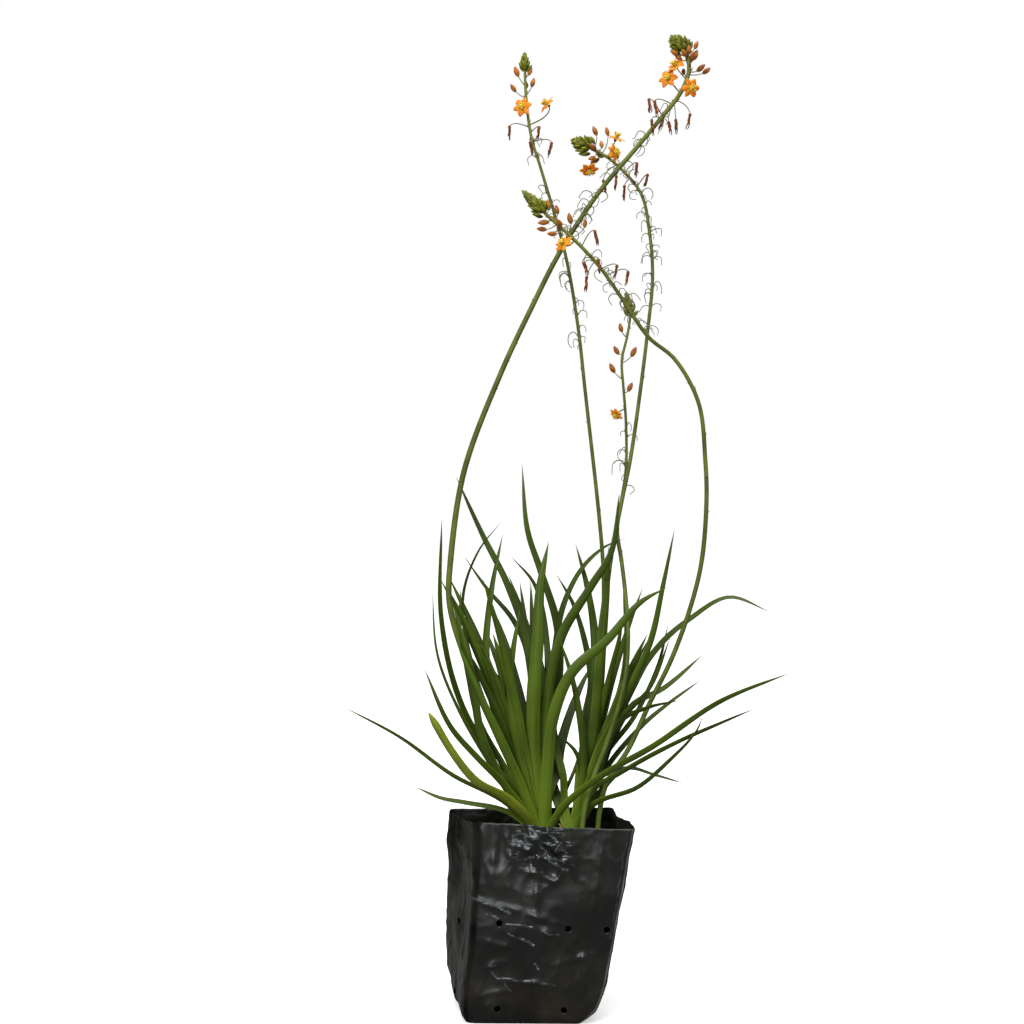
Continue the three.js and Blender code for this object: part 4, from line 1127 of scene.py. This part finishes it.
class SoilSettings(bpy.types.PropertyGroup):
    crumbs: bpy.props.IntProperty(
        name="Crumbs", description="Number of loose crumbs on the soil", default=700)
    dark: bpy.props.FloatVectorProperty(
        name="Soil colour", description="Darker colour of the potting soil", subtype="COLOR",
        size=4, default=shade("1d1510"))
    light: bpy.props.FloatVectorProperty(
        name="Crumb colour", description="Lighter colour of the potting soil", subtype="COLOR",
        size=4, default=shade("4a392a"))


def soil_top(edge):
    """Rings of the lumpy surface, from its middle to its edge."""
    rings = []
    for share in np.linspace(0, 0.99, SOIL_RINGS):
        ring = shrunk(edge, share, 0)
        for spot in ring:
            x, y, _ = spot
            lumpy = sum(high * noise.noise(Vector((x / size, y / size, layer)))
                        for high, size, layer in SOIL_LUMPS)
            spot[2] = SOIL_TOP + lumpy * (1 - share ** 6) - 1.2 * share ** 8
        if share == 0:
            ring[:] = ring.mean(axis=0)
        rings.append(ring)
    return rings


def crumb(body, edge, middle, draw):
    """A loose crumb somewhere on the soil."""
    rim = edge[int(draw() * len(edge))]
    spot = middle + (rim - middle) * 0.95 * math.sqrt(draw())
    size = 0.5 + 1.9 * draw() ** 3
    made = bmesh.ops.create_icosphere(body.bm, subdivisions=1, radius=size * MM)["verts"]
    turn = Vector((draw() - 0.5, draw() - 0.5, draw() - 0.5)).to_track_quat("Z", "X")
    flat = 0.35 + 0.5 * draw()
    long = 1 + 1.2 * draw() ** 2
    for v in made:
        rough = 0.75 + 0.5 * draw()
        v.co = turn @ Vector((v.co.x * long * rough, v.co.y * rough, v.co.z * flat))
        v[body.tone] = size
    up = SOIL_TOP + 0.5 * size * flat + 0.4
    bmesh.ops.translate(body.bm, verts=made, vec=Vector((spot[0], spot[1], up)) * MM)


def soil_finish(settings):
    """Moist crumbly soil, with painted shade: black down inside the bag."""
    made = Finish("potting_mix", 0.95)
    blotch = made.group(mottle_group(), Scale=190.0, Grain_Scale=1400.0,
                        Dark=settings.dark, Light=settings.light)
    # Painted shade: the soil turns black below its top, where the drain holes show it
    painted_shade_inside = made.number(made.axis(made.place, "Z"), 0.106, 0.114, 1.0, 0.0)
    made.give("Base Color", made.mix(painted_shade_inside, blotch["Color"], shade("020202")))
    made.give("Specular IOR Level", 0.1)
    made.bump(blotch["Height"], 0.9, 0.0009)
    return made.material


class BULBINE_OT_soil(bpy.types.Operator):
    """Model the crumbly potting soil that fills the bag"""
    bl_idname = "bulbine.soil"
    bl_label = "Potting soil"

    def execute(self, context):
        settings = context.scene.bulbine_soil
        places = columns(SOIL_STEP)
        side = (film_rows(places, [SOIL_EDGE], 1.1, context.scene.bulbine_bag.depth)
                + film_rows(places, SOIL_LEVELS, 5.0, 0.2))
        side[-1][:, 2] = SOIL_FOOT
        edge = side[0]
        body = Body()
        body.grid(closed_rows(soil_top(edge) + side + [shrunk(side[-1], 0, SOIL_FOOT)]))
        draw = drawer(CRUMB_SEED)
        for _ in range(settings.crumbs):
            crumb(body, edge, edge.mean(axis=0), draw)
        body.piece("potting_mix", [soil_finish(settings)], ["potting_soil"])
        return {"FINISHED"}


# Leaves

class LeafSettings(bpy.types.PropertyGroup):
    flatness: bpy.props.FloatProperty(
        name="Thickness", description="A leaf's thickness as a share of its width",
        default=LEAF_FLATNESS, subtype="FACTOR", min=0.2, max=1)
    dark: bpy.props.FloatVectorProperty(
        name="Dark green", description="Shaded tone of the leaves", subtype="COLOR", size=4,
        default=shade("3d4f0e"))
    light: bpy.props.FloatVectorProperty(
        name="Mid green", description="Lighter tone of the leaves", subtype="COLOR", size=4,
        default=shade("4e6311"))
    root: bpy.props.FloatVectorProperty(
        name="Leaf base", description="Pale green at the foot of the leaves", subtype="COLOR",
        size=4, default=shade("7f9a2e"))


LEAF_SEED = 5
LEAF_SIDES = 14
CROWN_DEPTH = 8.5
CROWN_PROFILE = ([0, 0.35, 0.6, 0.85, 1], [0.9, 1, 1, 0.8, 0.35])
SHEATHS = 7
SHEATH_ANGLE = 51


def leaf_sizes(number, width, count, flatness):
    """A leaf's half width and half depth at each of its spots."""
    blunt = BLUNT_LEAVES.get(number, 0)
    sizes = []
    for k in range(count):
        t = k / (count - 1)
        half = 0.5 * width * leaf_shape(t)
        half = max(half, 0.5 * width * blunt * min(1, (1 - t) * 14 + 0.25))
        half *= 1 + 0.02 * math.sin(k * 0.9 + number)
        sizes.append((half, half * flatness))
    return sizes


def dry_sheath(body, shoot, number, draw):
    """A dry leaf base that hugs the crown of a shoot."""
    x, y, radius = shoot
    angle = (number * SHEATH_ANGLE + 14 * draw()) * DEGREE
    out = np.array([math.cos(angle), math.sin(angle), 0])
    foot = np.array([x, y, 0]) + out * (radius - 1.2)
    rise = 9 + 12 * draw()
    spots = [foot + out * 4 * f * f + np.array([0, 0, SOIL_TOP - 2 + rise * f])
             for f in np.linspace(0, 1, 7)]
    wide = 2.6 + 1.2 * draw()
    sizes = [(wide * (1 - 0.9 * f ** 2), 0.45) for f in np.linspace(0, 1, 7)]
    body.tube(spots, (-out[1], out[0], 0), sizes, 8, round_section, 2, draw())


def leaf_finishes(settings):
    """Green skin, the skin of the yellowing leaf, and dry sheaths."""
    green = plant_finish("leaf_skin", settings.dark, settings.light, 0.5, 22.0,
                         tips=(shade("6b5a30"), 0.975), root=(settings.root, 0.4),
                         streaks=0.7, bump=0.00015, lines=13, specular=0.2)
    yellow = plant_finish("old_leaf_skin", shade("6f7d22"), shade("8f9a2c"), 0.5, 60.0,
                          tips=(shade("a98a34"), 0.95), root=(settings.root, 0.25),
                          streaks=0.6, bump=0.00015, lines=13, specular=0.2)
    sheath = plant_finish("dry_sheath", shade("6e5a2c"), shade("a8894a"), 0.7, 160.0,
                          streaks=0.6)
    return [item.material for item in (green, yellow, sheath)]


class BULBINE_OT_leaves(bpy.types.Operator):
    """Model the two leafy shoots, each leaf fleshy and channelled"""
    bl_idname = "bulbine.leaves"
    bl_label = "Leafy shoots"

    def execute(self, context):
        settings = context.scene.bulbine_leaves
        stalks = [(stalk, stalk_course(stalk)) for stalk in STALKS.values()]
        leaves = settle(leaf_courses(), stalks)
        finishes = leaf_finishes(settings)
        for name, (x, y, radius) in SHOOTS.items():
            body = Body()
            draw = drawer(LEAF_SEED + int(radius))
            for i, (shoot, width, points) in enumerate(leaves):
                turn = draw() - 0.5
                middle = points[len(points) // 2]
                # Painted shade: leaves that stand behind are darker than those in front, with a
                # random share on top
                tone = min(max(0.5 - 0.013 * middle[1] + 0.5 * (draw() - 0.5), 0), 1)
                if shoot != name:
                    continue
                deep = middle[1] - y
                side = (-deep - math.copysign(LEAF_FACING, deep), LEAF_TURN * (middle[0] - x), 0)
                body.tube(points, side, leaf_sizes(i, width, len(points), settings.flatness),
                          LEAF_SIDES, leaf_section, int(i == YELLOW_LEAF), tone,
                          twist=0.5 * turn)
            body.lump(np.array([x, y, LEAF_START - 4.0]), np.array([0, 0, 1]), CROWN_DEPTH,
                      radius - 0.2, CROWN_PROFILE, 16, 8, 2, 0.4)
            for k in range(SHEATHS):
                dry_sheath(body, (x, y, radius), k, draw)
            body.piece(f"leaves_{name}", finishes, [f"leafy_shoot_{name}"])
        return {"FINISHED"}


# Flower stalks and blooms

def station(points, below):
    """A place on a raceme: the stalk point below the tip and the axes round it."""
    stride = np.linalg.norm(points[1] - points[0])
    last = len(points) - 1
    place = max(last - below / stride, 1)
    i = int(place)
    spot = points[i] + (points[min(i + 1, last)] - points[i]) * (place - i)
    up = unit(points[min(i + 1, last)] - points[i - 1])
    right = unit(np.array([up[2], 0, -up[0]]))
    return spot, up, right, np.cross(up, right)


def offset(base, angle, reach, rise):
    """A place at an angle round a station, so far from the stalk and so far up it."""
    spot, up, right, back = base
    around = right * (reach * math.cos(angle * DEGREE)) + back * (reach * math.sin(angle * DEGREE))
    return spot + around + up * rise


def swept(a, b, c, steps):
    """Even spots on the arc from a to c that leans toward b."""
    t = np.linspace(0, 1, steps + 1)[:, None]
    return (1 - t) ** 2 * a + 2 * t * (1 - t) * b + t * t * c


GREEN, CONE, BUD, SPENT, THREAD = range(5)
STEM_HALF = 0.42
FINE_STEM_HALF = 0.38
FINE_SEED = 3
BARE_BRACTS = 8
BARE_BRACT_STEP = 24
BUD_PROFILE = ([0, 0.12, 0.45, 0.8, 1], [0.32, 0.72, 1.0, 0.62, 0.06])
CONE_PROFILE = ([0, 0.15, 0.45, 0.8, 1], [0.5, 0.85, 1.0, 0.55, 0.05])


def thinning(wide, root, loss, count):
    """Sizes of a round stem that thins evenly."""
    return even_sizes([wide * (root - loss * f) for f in np.linspace(0, 1, count)])


def pedicel(body, start, end, arrive, finish, tone, wide=STEM_HALF):
    """A flower's thin stem, bent to meet it."""
    reach = np.linalg.norm(end - start)
    middle = end - arrive * (0.45 * reach)
    middle = middle + (start - middle) * 0.25
    body.tube(swept(start, middle, end, 9), (0.3, 1, 0.2), thinning(wide, 1.15, 0.35, 10), 6,
              round_section, finish, tone)


def bract(body, base, angle, wide, draw):
    """A small dry scale that hugs the stalk under a flower stem."""
    spot, up, right, back = base
    out = right * math.cos(angle * DEGREE) + back * math.sin(angle * DEGREE)
    length = 2.2 + 1.6 * draw()
    t = np.linspace(0, 1, 6)[:, None]
    spots = spot + out * (wide * 0.8) + up * (length * t) + out * (1.2 * t ** 2)
    sizes = [(1.0 * (1 - f ** 1.5) + 0.02, 0.16) for f in t[:, 0]]
    body.tube(spots, np.cross(up, out), sizes, 6, round_section, SPENT, 0.35)


def withered(body, base, entry, draw):
    """A spent flower: a small ovary with shrunken tepals twisted below it."""
    below, angle, reach, rise = entry
    centre = offset(base, angle, reach, rise)
    down = unit(np.array([0.25 * math.cos(below), 0.2 * math.sin(below), -1]))
    top = centre - down * (0.36 * SPENT_LENGTH)
    pedicel(body, base[0], top, down, THREAD, 0.3 + 0.4 * draw())
    body.lump(top + down * 1.0, down, 1.7, 1.25, BUD_PROFILE, 8, 6, SPENT, 0.7)
    share = np.linspace(0, 1, 8)
    sizes = [(0.95 * math.sin(math.pi * (0.2 + 0.78 * f)), 0.36) for f in share]
    for k in range(4):
        turn = (k * 90 + 60 * draw()) * DEGREE
        side = np.array([math.cos(turn), math.sin(turn), 0.0])
        length = SPENT_LENGTH * (0.75 + 0.45 * draw())
        flare = 0.3 + 1.1 * draw() ** 2
        spots = [top + down * (0.8 + length * f)
                 + side * (flare * math.sin(2.2 * f) + 0.5 * math.sin(7 * f + k)) for f in share]
        body.tube(spots, side, sizes, 6, round_section, SPENT, draw(), twist=3.0)


def curled_stem(body, base, angle, reach, rise, drop, draw, wide):
    """A thin stem left where a flower has dropped, curled over at its end."""
    route = [base[0], offset(base, angle, 0.5 * reach, rise),
             offset(base, angle, reach, rise * 0.6),
             offset(base, angle + 50 * (draw() - 0.5), reach * 1.1, drop * (0.4 + 0.6 * draw()))]
    if draw() > 0.65:
        route.append(offset(base, angle + 12, reach * (0.6 + 0.4 * draw()), drop - 2 * draw()))
    body.tube(Curve(route).even(15), (0.2, 1, 0.1), thinning(wide, 1, 0.35, 15), 5,
              round_section, THREAD, draw())


class StalkSettings(bpy.types.PropertyGroup):
    extra: bpy.props.IntProperty(
        name="Extra stems", description="Finer dropped-flower stems for each modelled one",
        default=5)
    green: bpy.props.FloatVectorProperty(
        name="Stalk green", description="Colour of the stalks", subtype="COLOR", size=4,
        default=shade("66732a"))
    bud: bpy.props.FloatVectorProperty(
        name="Bud colour", description="Peach brown of the grown buds", subtype="COLOR", size=4,
        default=shade("b8702a"))
    cone: bpy.props.FloatVectorProperty(
        name="Young bud colour", description="Olive green of the young buds", subtype="COLOR",
        size=4, default=shade("828422"))


def bud_cone(body, points, cone, fine):
    """The cone of young buds packed round the tip of a stalk."""
    length, width, count = cone
    spot, up, _, _ = station(points, 0.45 * length)
    body.lump(spot, up, 0.55 * length, 0.25 * width, CONE_PROFILE, 10, 8, CONE, 0.2)
    packed = 3 * count
    for i in range(packed):
        f = i / (packed - 1)
        base = station(points, length * (1 - 0.94 * f))
        taper = 1 - 0.8 * f ** (2.4 if width > length else 1)
        centre = offset(base, BUD_TURN * i, 0.36 * width * taper, 0)
        out = unit(centre - base[0])
        lean = unit(base[1] + out * (0.9 - 0.6 * f))
        body.lump(centre, lean, 3.3 - 1.5 * f, 1.45 - 0.6 * f, BUD_PROFILE, 8, 7, CONE,
                  0.25 + 0.6 * fine(), bud_section)


def grown_bud(body, base, centre, fine):
    """A coloured bud on its stem."""
    lean = unit(unit(centre - base[0]) + base[1] * 0.7)
    grown = 0.84 + 0.26 * fine()
    body.lump(centre, lean, 0.5 * BUD_LENGTH * grown, 0.5 * BUD_WIDTH * grown, BUD_PROFILE, 12,
              10, BUD, 0.2 + 0.6 * fine(), bud_section)
    pedicel(body, base[0], centre - lean * (0.4 * BUD_LENGTH * grown), lean, THREAD, 0.7)


def raceme(body, stalk, points, extra):
    """All that grows round a stalk: bud cone, buds, spent flowers and stems."""
    draw = drawer(RACEME_SEED + len(points))
    fine = drawer(FINE_SEED * len(points))
    low_width, high_width = stalk["width"]
    half_stalk = 0.5 * high_width
    bud_cone(body, points, stalk["cone"], fine)
    for below, angle, reach, rise in stalk["buds"]:
        base = station(points, below)
        grown_bud(body, base, offset(base, angle, reach, rise), fine)
        bract(body, base, angle, half_stalk, fine)
    for entry in stalk["spent"]:
        base = station(points, entry[0])
        withered(body, base, entry, fine)
        bract(body, base, entry[1], half_stalk, fine)
    start, stop, count = stalk["threads"]
    for i in range(count):
        base = station(points, start + ((stop - start) * (i + draw())) / count)
        angle = (0 if i % 2 == 0 else 180) + 110 * (draw() - 0.5)
        reach, rise = within(THREAD_REACH, draw()), within(THREAD_RISE, draw())
        curled_stem(body, base, angle, reach, rise, -3 - 3 * draw(), fine, STEM_HALF)
        bract(body, base, angle, half_stalk, fine)
    for i in range(extra * count):
        base = station(points, start - 14 + (stop - start + 10) * fine())
        angle = 360 * fine()
        reach, rise = 3 + 5 * fine(), 1 + 3 * fine()
        curled_stem(body, base, angle, reach, rise, -1 - 5 * fine(), fine, FINE_STEM_HALF)
        bract(body, base, angle, half_stalk, fine)
    for i in range(BARE_BRACTS):
        base = station(points, stop + BARE_BRACT_STEP * i + 20 * fine())
        bract(body, base, 360 * fine(), 0.5 * low_width * 0.8, fine)
    for at, face, size in stalk["blooms"]:
        base = station(points, at[0])
        centre = offset(base, *at[1:])
        facing = unit(np.array(face, float))
        pedicel(body, base[0], centre - facing * 1.5 * size, facing, GREEN, 0.6, 0.5)
        body.lump(centre - facing * 0.9 * size, facing, 1.0, 1.15, CONE_PROFILE, 8, 5, GREEN, 0.5)
        bract(body, base, at[1], half_stalk, fine)


def stalk_finishes(settings):
    """Skins of the stalk, young buds, grown buds, spent flowers and dry stems, in that order."""
    green = plant_finish("stalk_skin", shade("4c581c"), settings.green, 0.5, 70.0,
                         tips=(shade("70732f"), 0.8), root=(shade("6d8034"), 0.2),
                         streaks=0.45, specular=0.2)
    cone = plant_finish("young_bud_skin", shade("565c12"), settings.cone, 0.5, 320.0,
                        tips=(shade("94813a"), 0.78), streaks=0.3, specular=0.2)
    bud = plant_finish("bud_skin", shade("8c4a18"), settings.bud, 0.55, 300.0,
                       tips=(shade("743710"), 0.82), root=(shade("8a8128"), 0.25),
                       streaks=0.4, specular=0.2)
    spent = plant_finish("withered_skin", shade("5f2d14"), shade("98562a"), 0.75, 400.0,
                         streaks=0.5, specular=0.2)
    thread = plant_finish("dry_stem_skin", shade("565440"), shade("7a775c"), 0.6, 300.0,
                          tips=(shade("5f4634"), 0.9))
    return [item.material for item in (green, cone, bud, spent, thread)]


class BULBINE_OT_stalks(bpy.types.Operator):
    """Model the five flower stalks with buds, spent flowers and curled stems"""
    bl_idname = "bulbine.stalks"
    bl_label = "Flower stalks"

    def execute(self, context):
        settings = context.scene.bulbine_stalks
        finishes = stalk_finishes(settings)
        for name, stalk in STALKS.items():
            points = stalk_course(stalk)
            low, high = stalk["width"]
            last = len(points) - 1
            body = Body()
            body.tube(points, (1, 0, 0),
                      even_sizes([0.5 * (low + (high - low) * k / last) for k in range(last + 1)]),
                      14, round_section, GREEN, 0.5)
            raceme(body, stalk, points, settings.extra)
            body.piece(f"stalk_{name}", finishes, [f"flower_stalk_{name}"])
        return {"FINISHED"}


BLOOM_SEED = 11
PETAL, TUFT, ANTHER = range(3)
PETAL_ROUTE = [(0.05, -0.3), (0.3, 0.75), (0.6, 1.05), (0.85, 0.8)]
PETAL_SPOTS = 13
PETAL_WIDTHS = ([0, 0.3, 0.55, 0.85, 1], [0.42, 0.85, 1.0, 0.6, 0.12])
HAIR_SIZES = [(0.14, 0.14), (0.13, 0.13), (0.04, 0.04)]


def tepal_section(angles):
    """A petal's section: thin, with its edges lifted."""
    return np.cos(angles), 0.3 * np.sin(angles) + 0.34 * np.cos(angles) ** 2


class BloomSettings(bpy.types.PropertyGroup):
    beard: bpy.props.IntProperty(
        name="Beard hairs", description="Hairs on each stamen's filament", default=46)
    petal: bpy.props.FloatVectorProperty(
        name="Petal colour", description="Orange of the open flowers", subtype="COLOR", size=4,
        default=shade("f28c18"))
    rib: bpy.props.FloatVectorProperty(
        name="Rib colour", description="Darker orange along each petal's middle and tip",
        subtype="COLOR", size=4, default=shade("c4600f"))
    tuft: bpy.props.FloatVectorProperty(
        name="Tuft colour", description="Yellow of the bearded stamens", subtype="COLOR",
        size=4, default=shade("ffdf40"))


def petal_finish(settings):
    """Orange petals with fine veins, a darker rib and tip, and a yellow base."""
    made = Finish("petal_skin", 0.5)
    uv = made.mapped()
    along = made.axis(uv, "Y")
    half_round = made.math("MODULO", made.times(made.axis(uv, "X"), 2.0), 1.0)
    rib = made.number(made.apart(half_round, 0.5), 0.0, 0.22, 1.0, 0.0)
    veins = made.noise(1.0, 2.0, made.scaled(made.mapped(), (44, 2.5, 1)))
    colour = made.mix(made.number(veins, 0.3, 0.7), settings.petal, shade("e07215"))
    colour = made.mix(made.times(rib, 0.35), colour, settings.rib)
    colour = made.mix(made.number(along, 0.86, 1.0, 0.0, 0.6), colour, shade("b4551a"))
    colour = made.mix(made.number(along, 0.5, 0.12, 0.0, 0.9), colour, shade("f6c03a"))
    made.give("Base Color", colour)
    made.give("Specular IOR Level", 0.2)
    made.bump(veins, 0.5, 0.0001)
    made.soak((0.003, 0.0016, 0.0006))
    return made.material


def bloom_petal(body, centre, facing, out, inner, size, draw):
    """One petal, cupped at its base and curled at its tip."""
    curl = 0.4 - 0.5 * inner + 1.2 * (draw() - 0.5)
    route = [centre + (out * reach * TEPAL_LENGTH + facing * lift) * size
             for reach, lift in PETAL_ROUTE + [(1.0, curl)]]
    half = (0.5 * TEPAL_WIDTH - 0.25 * (1 - inner)) * size
    sizes = []
    for f in np.linspace(0, 1, PETAL_SPOTS):
        wide = half * between(*PETAL_WIDTHS, f)
        sizes.append((wide, wide * 0.42))
    body.tube(Curve(route).even(PETAL_SPOTS), np.cross(facing, out), sizes, 10, tepal_section,
              PETAL, draw(), twist=0.5 * (draw() - 0.5))


def beard_hair(body, place, facing, axes, angle, size, draw):
    """One hair of a stamen's beard."""
    start, other = axes
    way = unit(start * math.cos(angle) + other * math.sin(angle) + facing * (0.3 + 0.7 * draw()))
    reach = (1.0 + 0.7 * draw()) * size
    sag = facing * 0.25 * reach * (draw() - 0.2)
    hair = np.array([place, place + way * 0.55 * reach + sag, place + way * reach])
    body.tube(hair, (0.21, 0.33, 0.9), HAIR_SIZES, 3, round_section, TUFT, draw())


def stamen(body, centre, facing, axes, out, size, beard, draw):
    """One stamen: a filament, its anther and its beard of hairs."""
    tip = facing * (TUFT_LENGTH * (0.64 + 0.12 * draw())) + out * (1.8 + 0.7 * draw())
    spots = swept(centre + out * 0.3, centre + (facing * 2.6 + out * 0.4) * size,
                  centre + tip * size, 7)
    body.tube(spots, (0.3, 0.9, 0.2), even_sizes([0.18] * 8), 5, round_section, TUFT, 0.5)
    body.lump(spots[-1], unit(out + facing * 0.4), 0.75 * size, 0.36 * size, CONE_PROFILE, 6, 4,
              ANTHER, 0.6)
    for k in range(beard):
        place = spots[0] + (spots[-1] - spots[0]) * (0.22 + 0.72 * k / beard) + out * 0.1
        beard_hair(body, place, facing, axes, BUD_TURN * k * DEGREE, size, draw)


def bloom(body, centre, facing, size, beard, draw):
    """Six petals round a core, six bearded stamens and the style."""
    start = unit(np.cross(np.array([0, 1, 0]), facing))
    other = np.cross(facing, start)
    for i in range(6):
        turn = (i * 60 + 9 * (draw() - 0.5)) * DEGREE
        out = start * math.cos(turn) + other * math.sin(turn)
        bloom_petal(body, centre, facing, out, i % 2, size, draw)
    body.lump(centre + facing * 3.3 * size, facing, 2.1 * size, 1.7 * size, CONE_PROFILE, 10, 8,
              TUFT, 0.3)
    for i in range(6):
        turn = (i * 60 + 30 + 14 * (draw() - 0.5)) * DEGREE
        out = start * math.cos(turn) + other * math.sin(turn)
        stamen(body, centre, facing, (start, other), out, size, beard, draw)
    style = np.array([centre, centre + facing * 2.6 * size, centre + facing * 5.4 * size])
    body.tube(style, (0.3, 0.9, 0.2), even_sizes([0.2] * 3), 5, round_section, ANTHER, 0.3)


class BULBINE_OT_blooms(bpy.types.Operator):
    """Model the open blooms, six petals round a bearded tuft of stamens"""
    bl_idname = "bulbine.blooms"
    bl_label = "Blooms"

    def execute(self, context):
        settings = context.scene.bulbine_blooms
        tuft = plant_finish("beard_yellow", shade("f6c62c"), settings.tuft, 0.6, 900.0)
        tuft.soak((0.003, 0.002, 0.0006))
        anther = plant_finish("anther_orange", shade("e39a1c"), shade("f6c034"), 0.6, 900.0)
        finishes = [petal_finish(settings), tuft.material, anther.material]
        for name, stalk in STALKS.items():
            points = stalk_course(stalk)
            for number, (at, face, size) in enumerate(stalk["blooms"], 1):
                body = Body()
                bloom(body, offset(station(points, at[0]), *at[1:]), unit(np.array(face, float)),
                      size, settings.beard, drawer(BLOOM_SEED * number + len(points)))
                body.piece(f"flower_{name}_{number}", finishes, [f"bloom_{name}_{number}"])
        return {"FINISHED"}


# Stage

class StageSettings(bpy.types.PropertyGroup):
    height: bpy.props.FloatProperty(
        name="Camera height", description="Height of the level camera", default=360 * MM,
        unit="LENGTH")
    distance: bpy.props.FloatProperty(
        name="Camera distance", description="From the camera to the middle of the bag",
        default=1345 * MM, unit="LENGTH")
    surround: bpy.props.FloatProperty(
        name="Surround", description="Strength of the even light from all round", default=0.25)
    wash: bpy.props.FloatVectorProperty(
        name="Wash", description="Brightening of the floor at the bag and far behind it", size=2,
        default=(0.45, 0.95))
    bounce: bpy.props.FloatVectorProperty(
        name="Bounce colour", description="How much light the floor throws back on the plant",
        subtype="COLOR", size=4, default=(0.2, 0.2, 0.19, 1))
    floor: bpy.props.FloatVectorProperty(
        name="Floor colour", description="Colour of the plain floor", subtype="COLOR", size=4,
        default=(0.86, 0.86, 0.85, 1))


CAMERA_ACROSS = -20.3
LENS = 65.3
SENSOR = 36
FLOOR_HALF = 12
WASH_REACH = (0.15, 2.4)

# Soft lights, in metres and watts: name, place, what it faces, its size, power and tint
LIGHTS = [
    ("key", (-0.7, -1.7, 1.15), (0, 0, 0.2), (0.9, 0.6), 32, (0.93, 0.96, 1.0)),
    ("top", (0.1, -0.6, 2.2), (0, 0, 0.2), (1.3, 1.3), 38, (1, 1, 1)),
    ("fill", (1.6, -1.3, 0.9), (0, 0, 0.3), (0.9, 1.2), 6, (0.86, 0.93, 1.0)),
    ("back", (0.3, 1.6, 1.5), (0, 0, 0.4), (1.4, 1.0), 12, (1, 1, 1)),
]


def soft_light(name, place, target, wide, power, tint):
    """An area light that faces its target."""
    data = bpy.data.lights.new(name, "AREA")
    data.shape = "RECTANGLE"
    data.size, data.size_y = wide
    data.energy = power
    data.color = tint
    item = bpy.data.objects.new(name, data)
    item.location = place
    item.rotation_euler = (Vector(target) - Vector(place)).to_track_quat("-Z", "Y").to_euler()
    bpy.context.scene.collection.objects.link(item)


def floor_finish(settings):
    """Plain floor, washed to white away from the bag for the camera alone."""
    made = Finish("floor_paint", 0.9)
    made.give("Emission Color", WHITE)
    seen = made.nodes.new("ShaderNodeLightPath").outputs["Is Camera Ray"]
    made.give("Base Color", made.mix(seen, settings.bounce, settings.floor))
    far = made.nodes.new("ShaderNodeVectorMath")
    far.operation = "LENGTH"
    made.feed(made.place, far.inputs[0])
    wash = made.number(far.outputs["Value"], *WASH_REACH, *settings.wash)
    made.give("Emission Strength", made.times(seen, wash))
    return made.material


def studio(surround):
    """Soft even light from all round, behind a white background."""
    world = bpy.data.worlds.new("studio")
    world.use_nodes = True
    nodes, links = world.node_tree.nodes, world.node_tree.links
    sky = nodes["Background"]
    sky.inputs["Color"].default_value = WHITE
    ray = nodes.new("ShaderNodeLightPath")
    strength = nodes.new("ShaderNodeMapRange")
    strength.inputs["To Min"].default_value = surround
    links.new(ray.outputs["Is Camera Ray"], strength.inputs["Value"])
    links.new(strength.outputs["Result"], sky.inputs["Strength"])
    return world


class BULBINE_OT_stage(bpy.types.Operator):
    """Set the plain floor, the soft lights and the camera"""
    bl_idname = "bulbine.stage"
    bl_label = "Stage"

    def execute(self, context):
        settings = context.scene.bulbine_stage
        scene = context.scene
        bm = bmesh.new()
        bmesh.ops.create_grid(bm, x_segments=1, y_segments=1, size=FLOOR_HALF)
        mesh = bpy.data.meshes.new("floor")
        bm.to_mesh(mesh)
        bm.free()
        mesh.materials.append(floor_finish(settings))
        floor = bpy.data.objects.new("floor", mesh)
        scene.collection.objects.link(floor)
        scene.world = studio(settings.surround)
        scene.view_settings.view_transform = "Standard"
        for light in LIGHTS:
            soft_light(*light)
        data = bpy.data.cameras.new("camera")
        data.lens = LENS
        data.sensor_width = SENSOR
        data.clip_start = 0.01
        camera = bpy.data.objects.new("camera", data)
        camera.location = (CAMERA_ACROSS * MM, -settings.distance, settings.height)
        camera.rotation_euler = (math.pi / 2, 0, 0)
        scene.collection.objects.link(camera)
        scene.camera = camera
        return {"FINISHED"}


class BULBINE_PT_panel(bpy.types.Panel):
    """Lists the pieces of the potted bulbine"""
    bl_idname = "BULBINE_PT_panel"
    bl_label = "Potted bulbine"
    bl_space_type = "VIEW_3D"
    bl_region_type = "UI"
    bl_category = "Bulbine"

    def draw(self, context):
        for name in GROUPS:
            box = self.layout.box()
            settings = getattr(context.scene, name)
            for key in settings.bl_rna.properties.keys():
                if key not in ("rna_type", "name"):
                    box.prop(settings, key)
            box.operator(name.replace("_", "."))


# Settings by their name on the scene, which is also their operator's, with a dot
GROUPS = {
    "bulbine_bag": BagSettings,
    "bulbine_soil": SoilSettings,
    "bulbine_leaves": LeafSettings,
    "bulbine_stalks": StalkSettings,
    "bulbine_blooms": BloomSettings,
    "bulbine_stage": StageSettings,
}
CLASSES = [*GROUPS.values(), BULBINE_OT_bag, BULBINE_OT_soil, BULBINE_OT_leaves,
           BULBINE_OT_stalks, BULBINE_OT_blooms, BULBINE_OT_stage, BULBINE_PT_panel]


def register():
    for item in CLASSES:
        bpy.utils.register_class(item)
    for name, group in GROUPS.items():
        setattr(bpy.types.Scene, name, bpy.props.PointerProperty(type=group))


def unregister():
    for name in GROUPS:
        delattr(bpy.types.Scene, name)
    for item in reversed(CLASSES):
        bpy.utils.unregister_class(item)


def main():
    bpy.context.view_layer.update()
    register()
    bpy.ops.bulbine.stage()
    bpy.ops.bulbine.bag()
    bpy.ops.bulbine.soil()
    bpy.ops.bulbine.leaves()
    bpy.ops.bulbine.stalks()
    bpy.ops.bulbine.blooms()


if __name__ == "__main__":
    main()
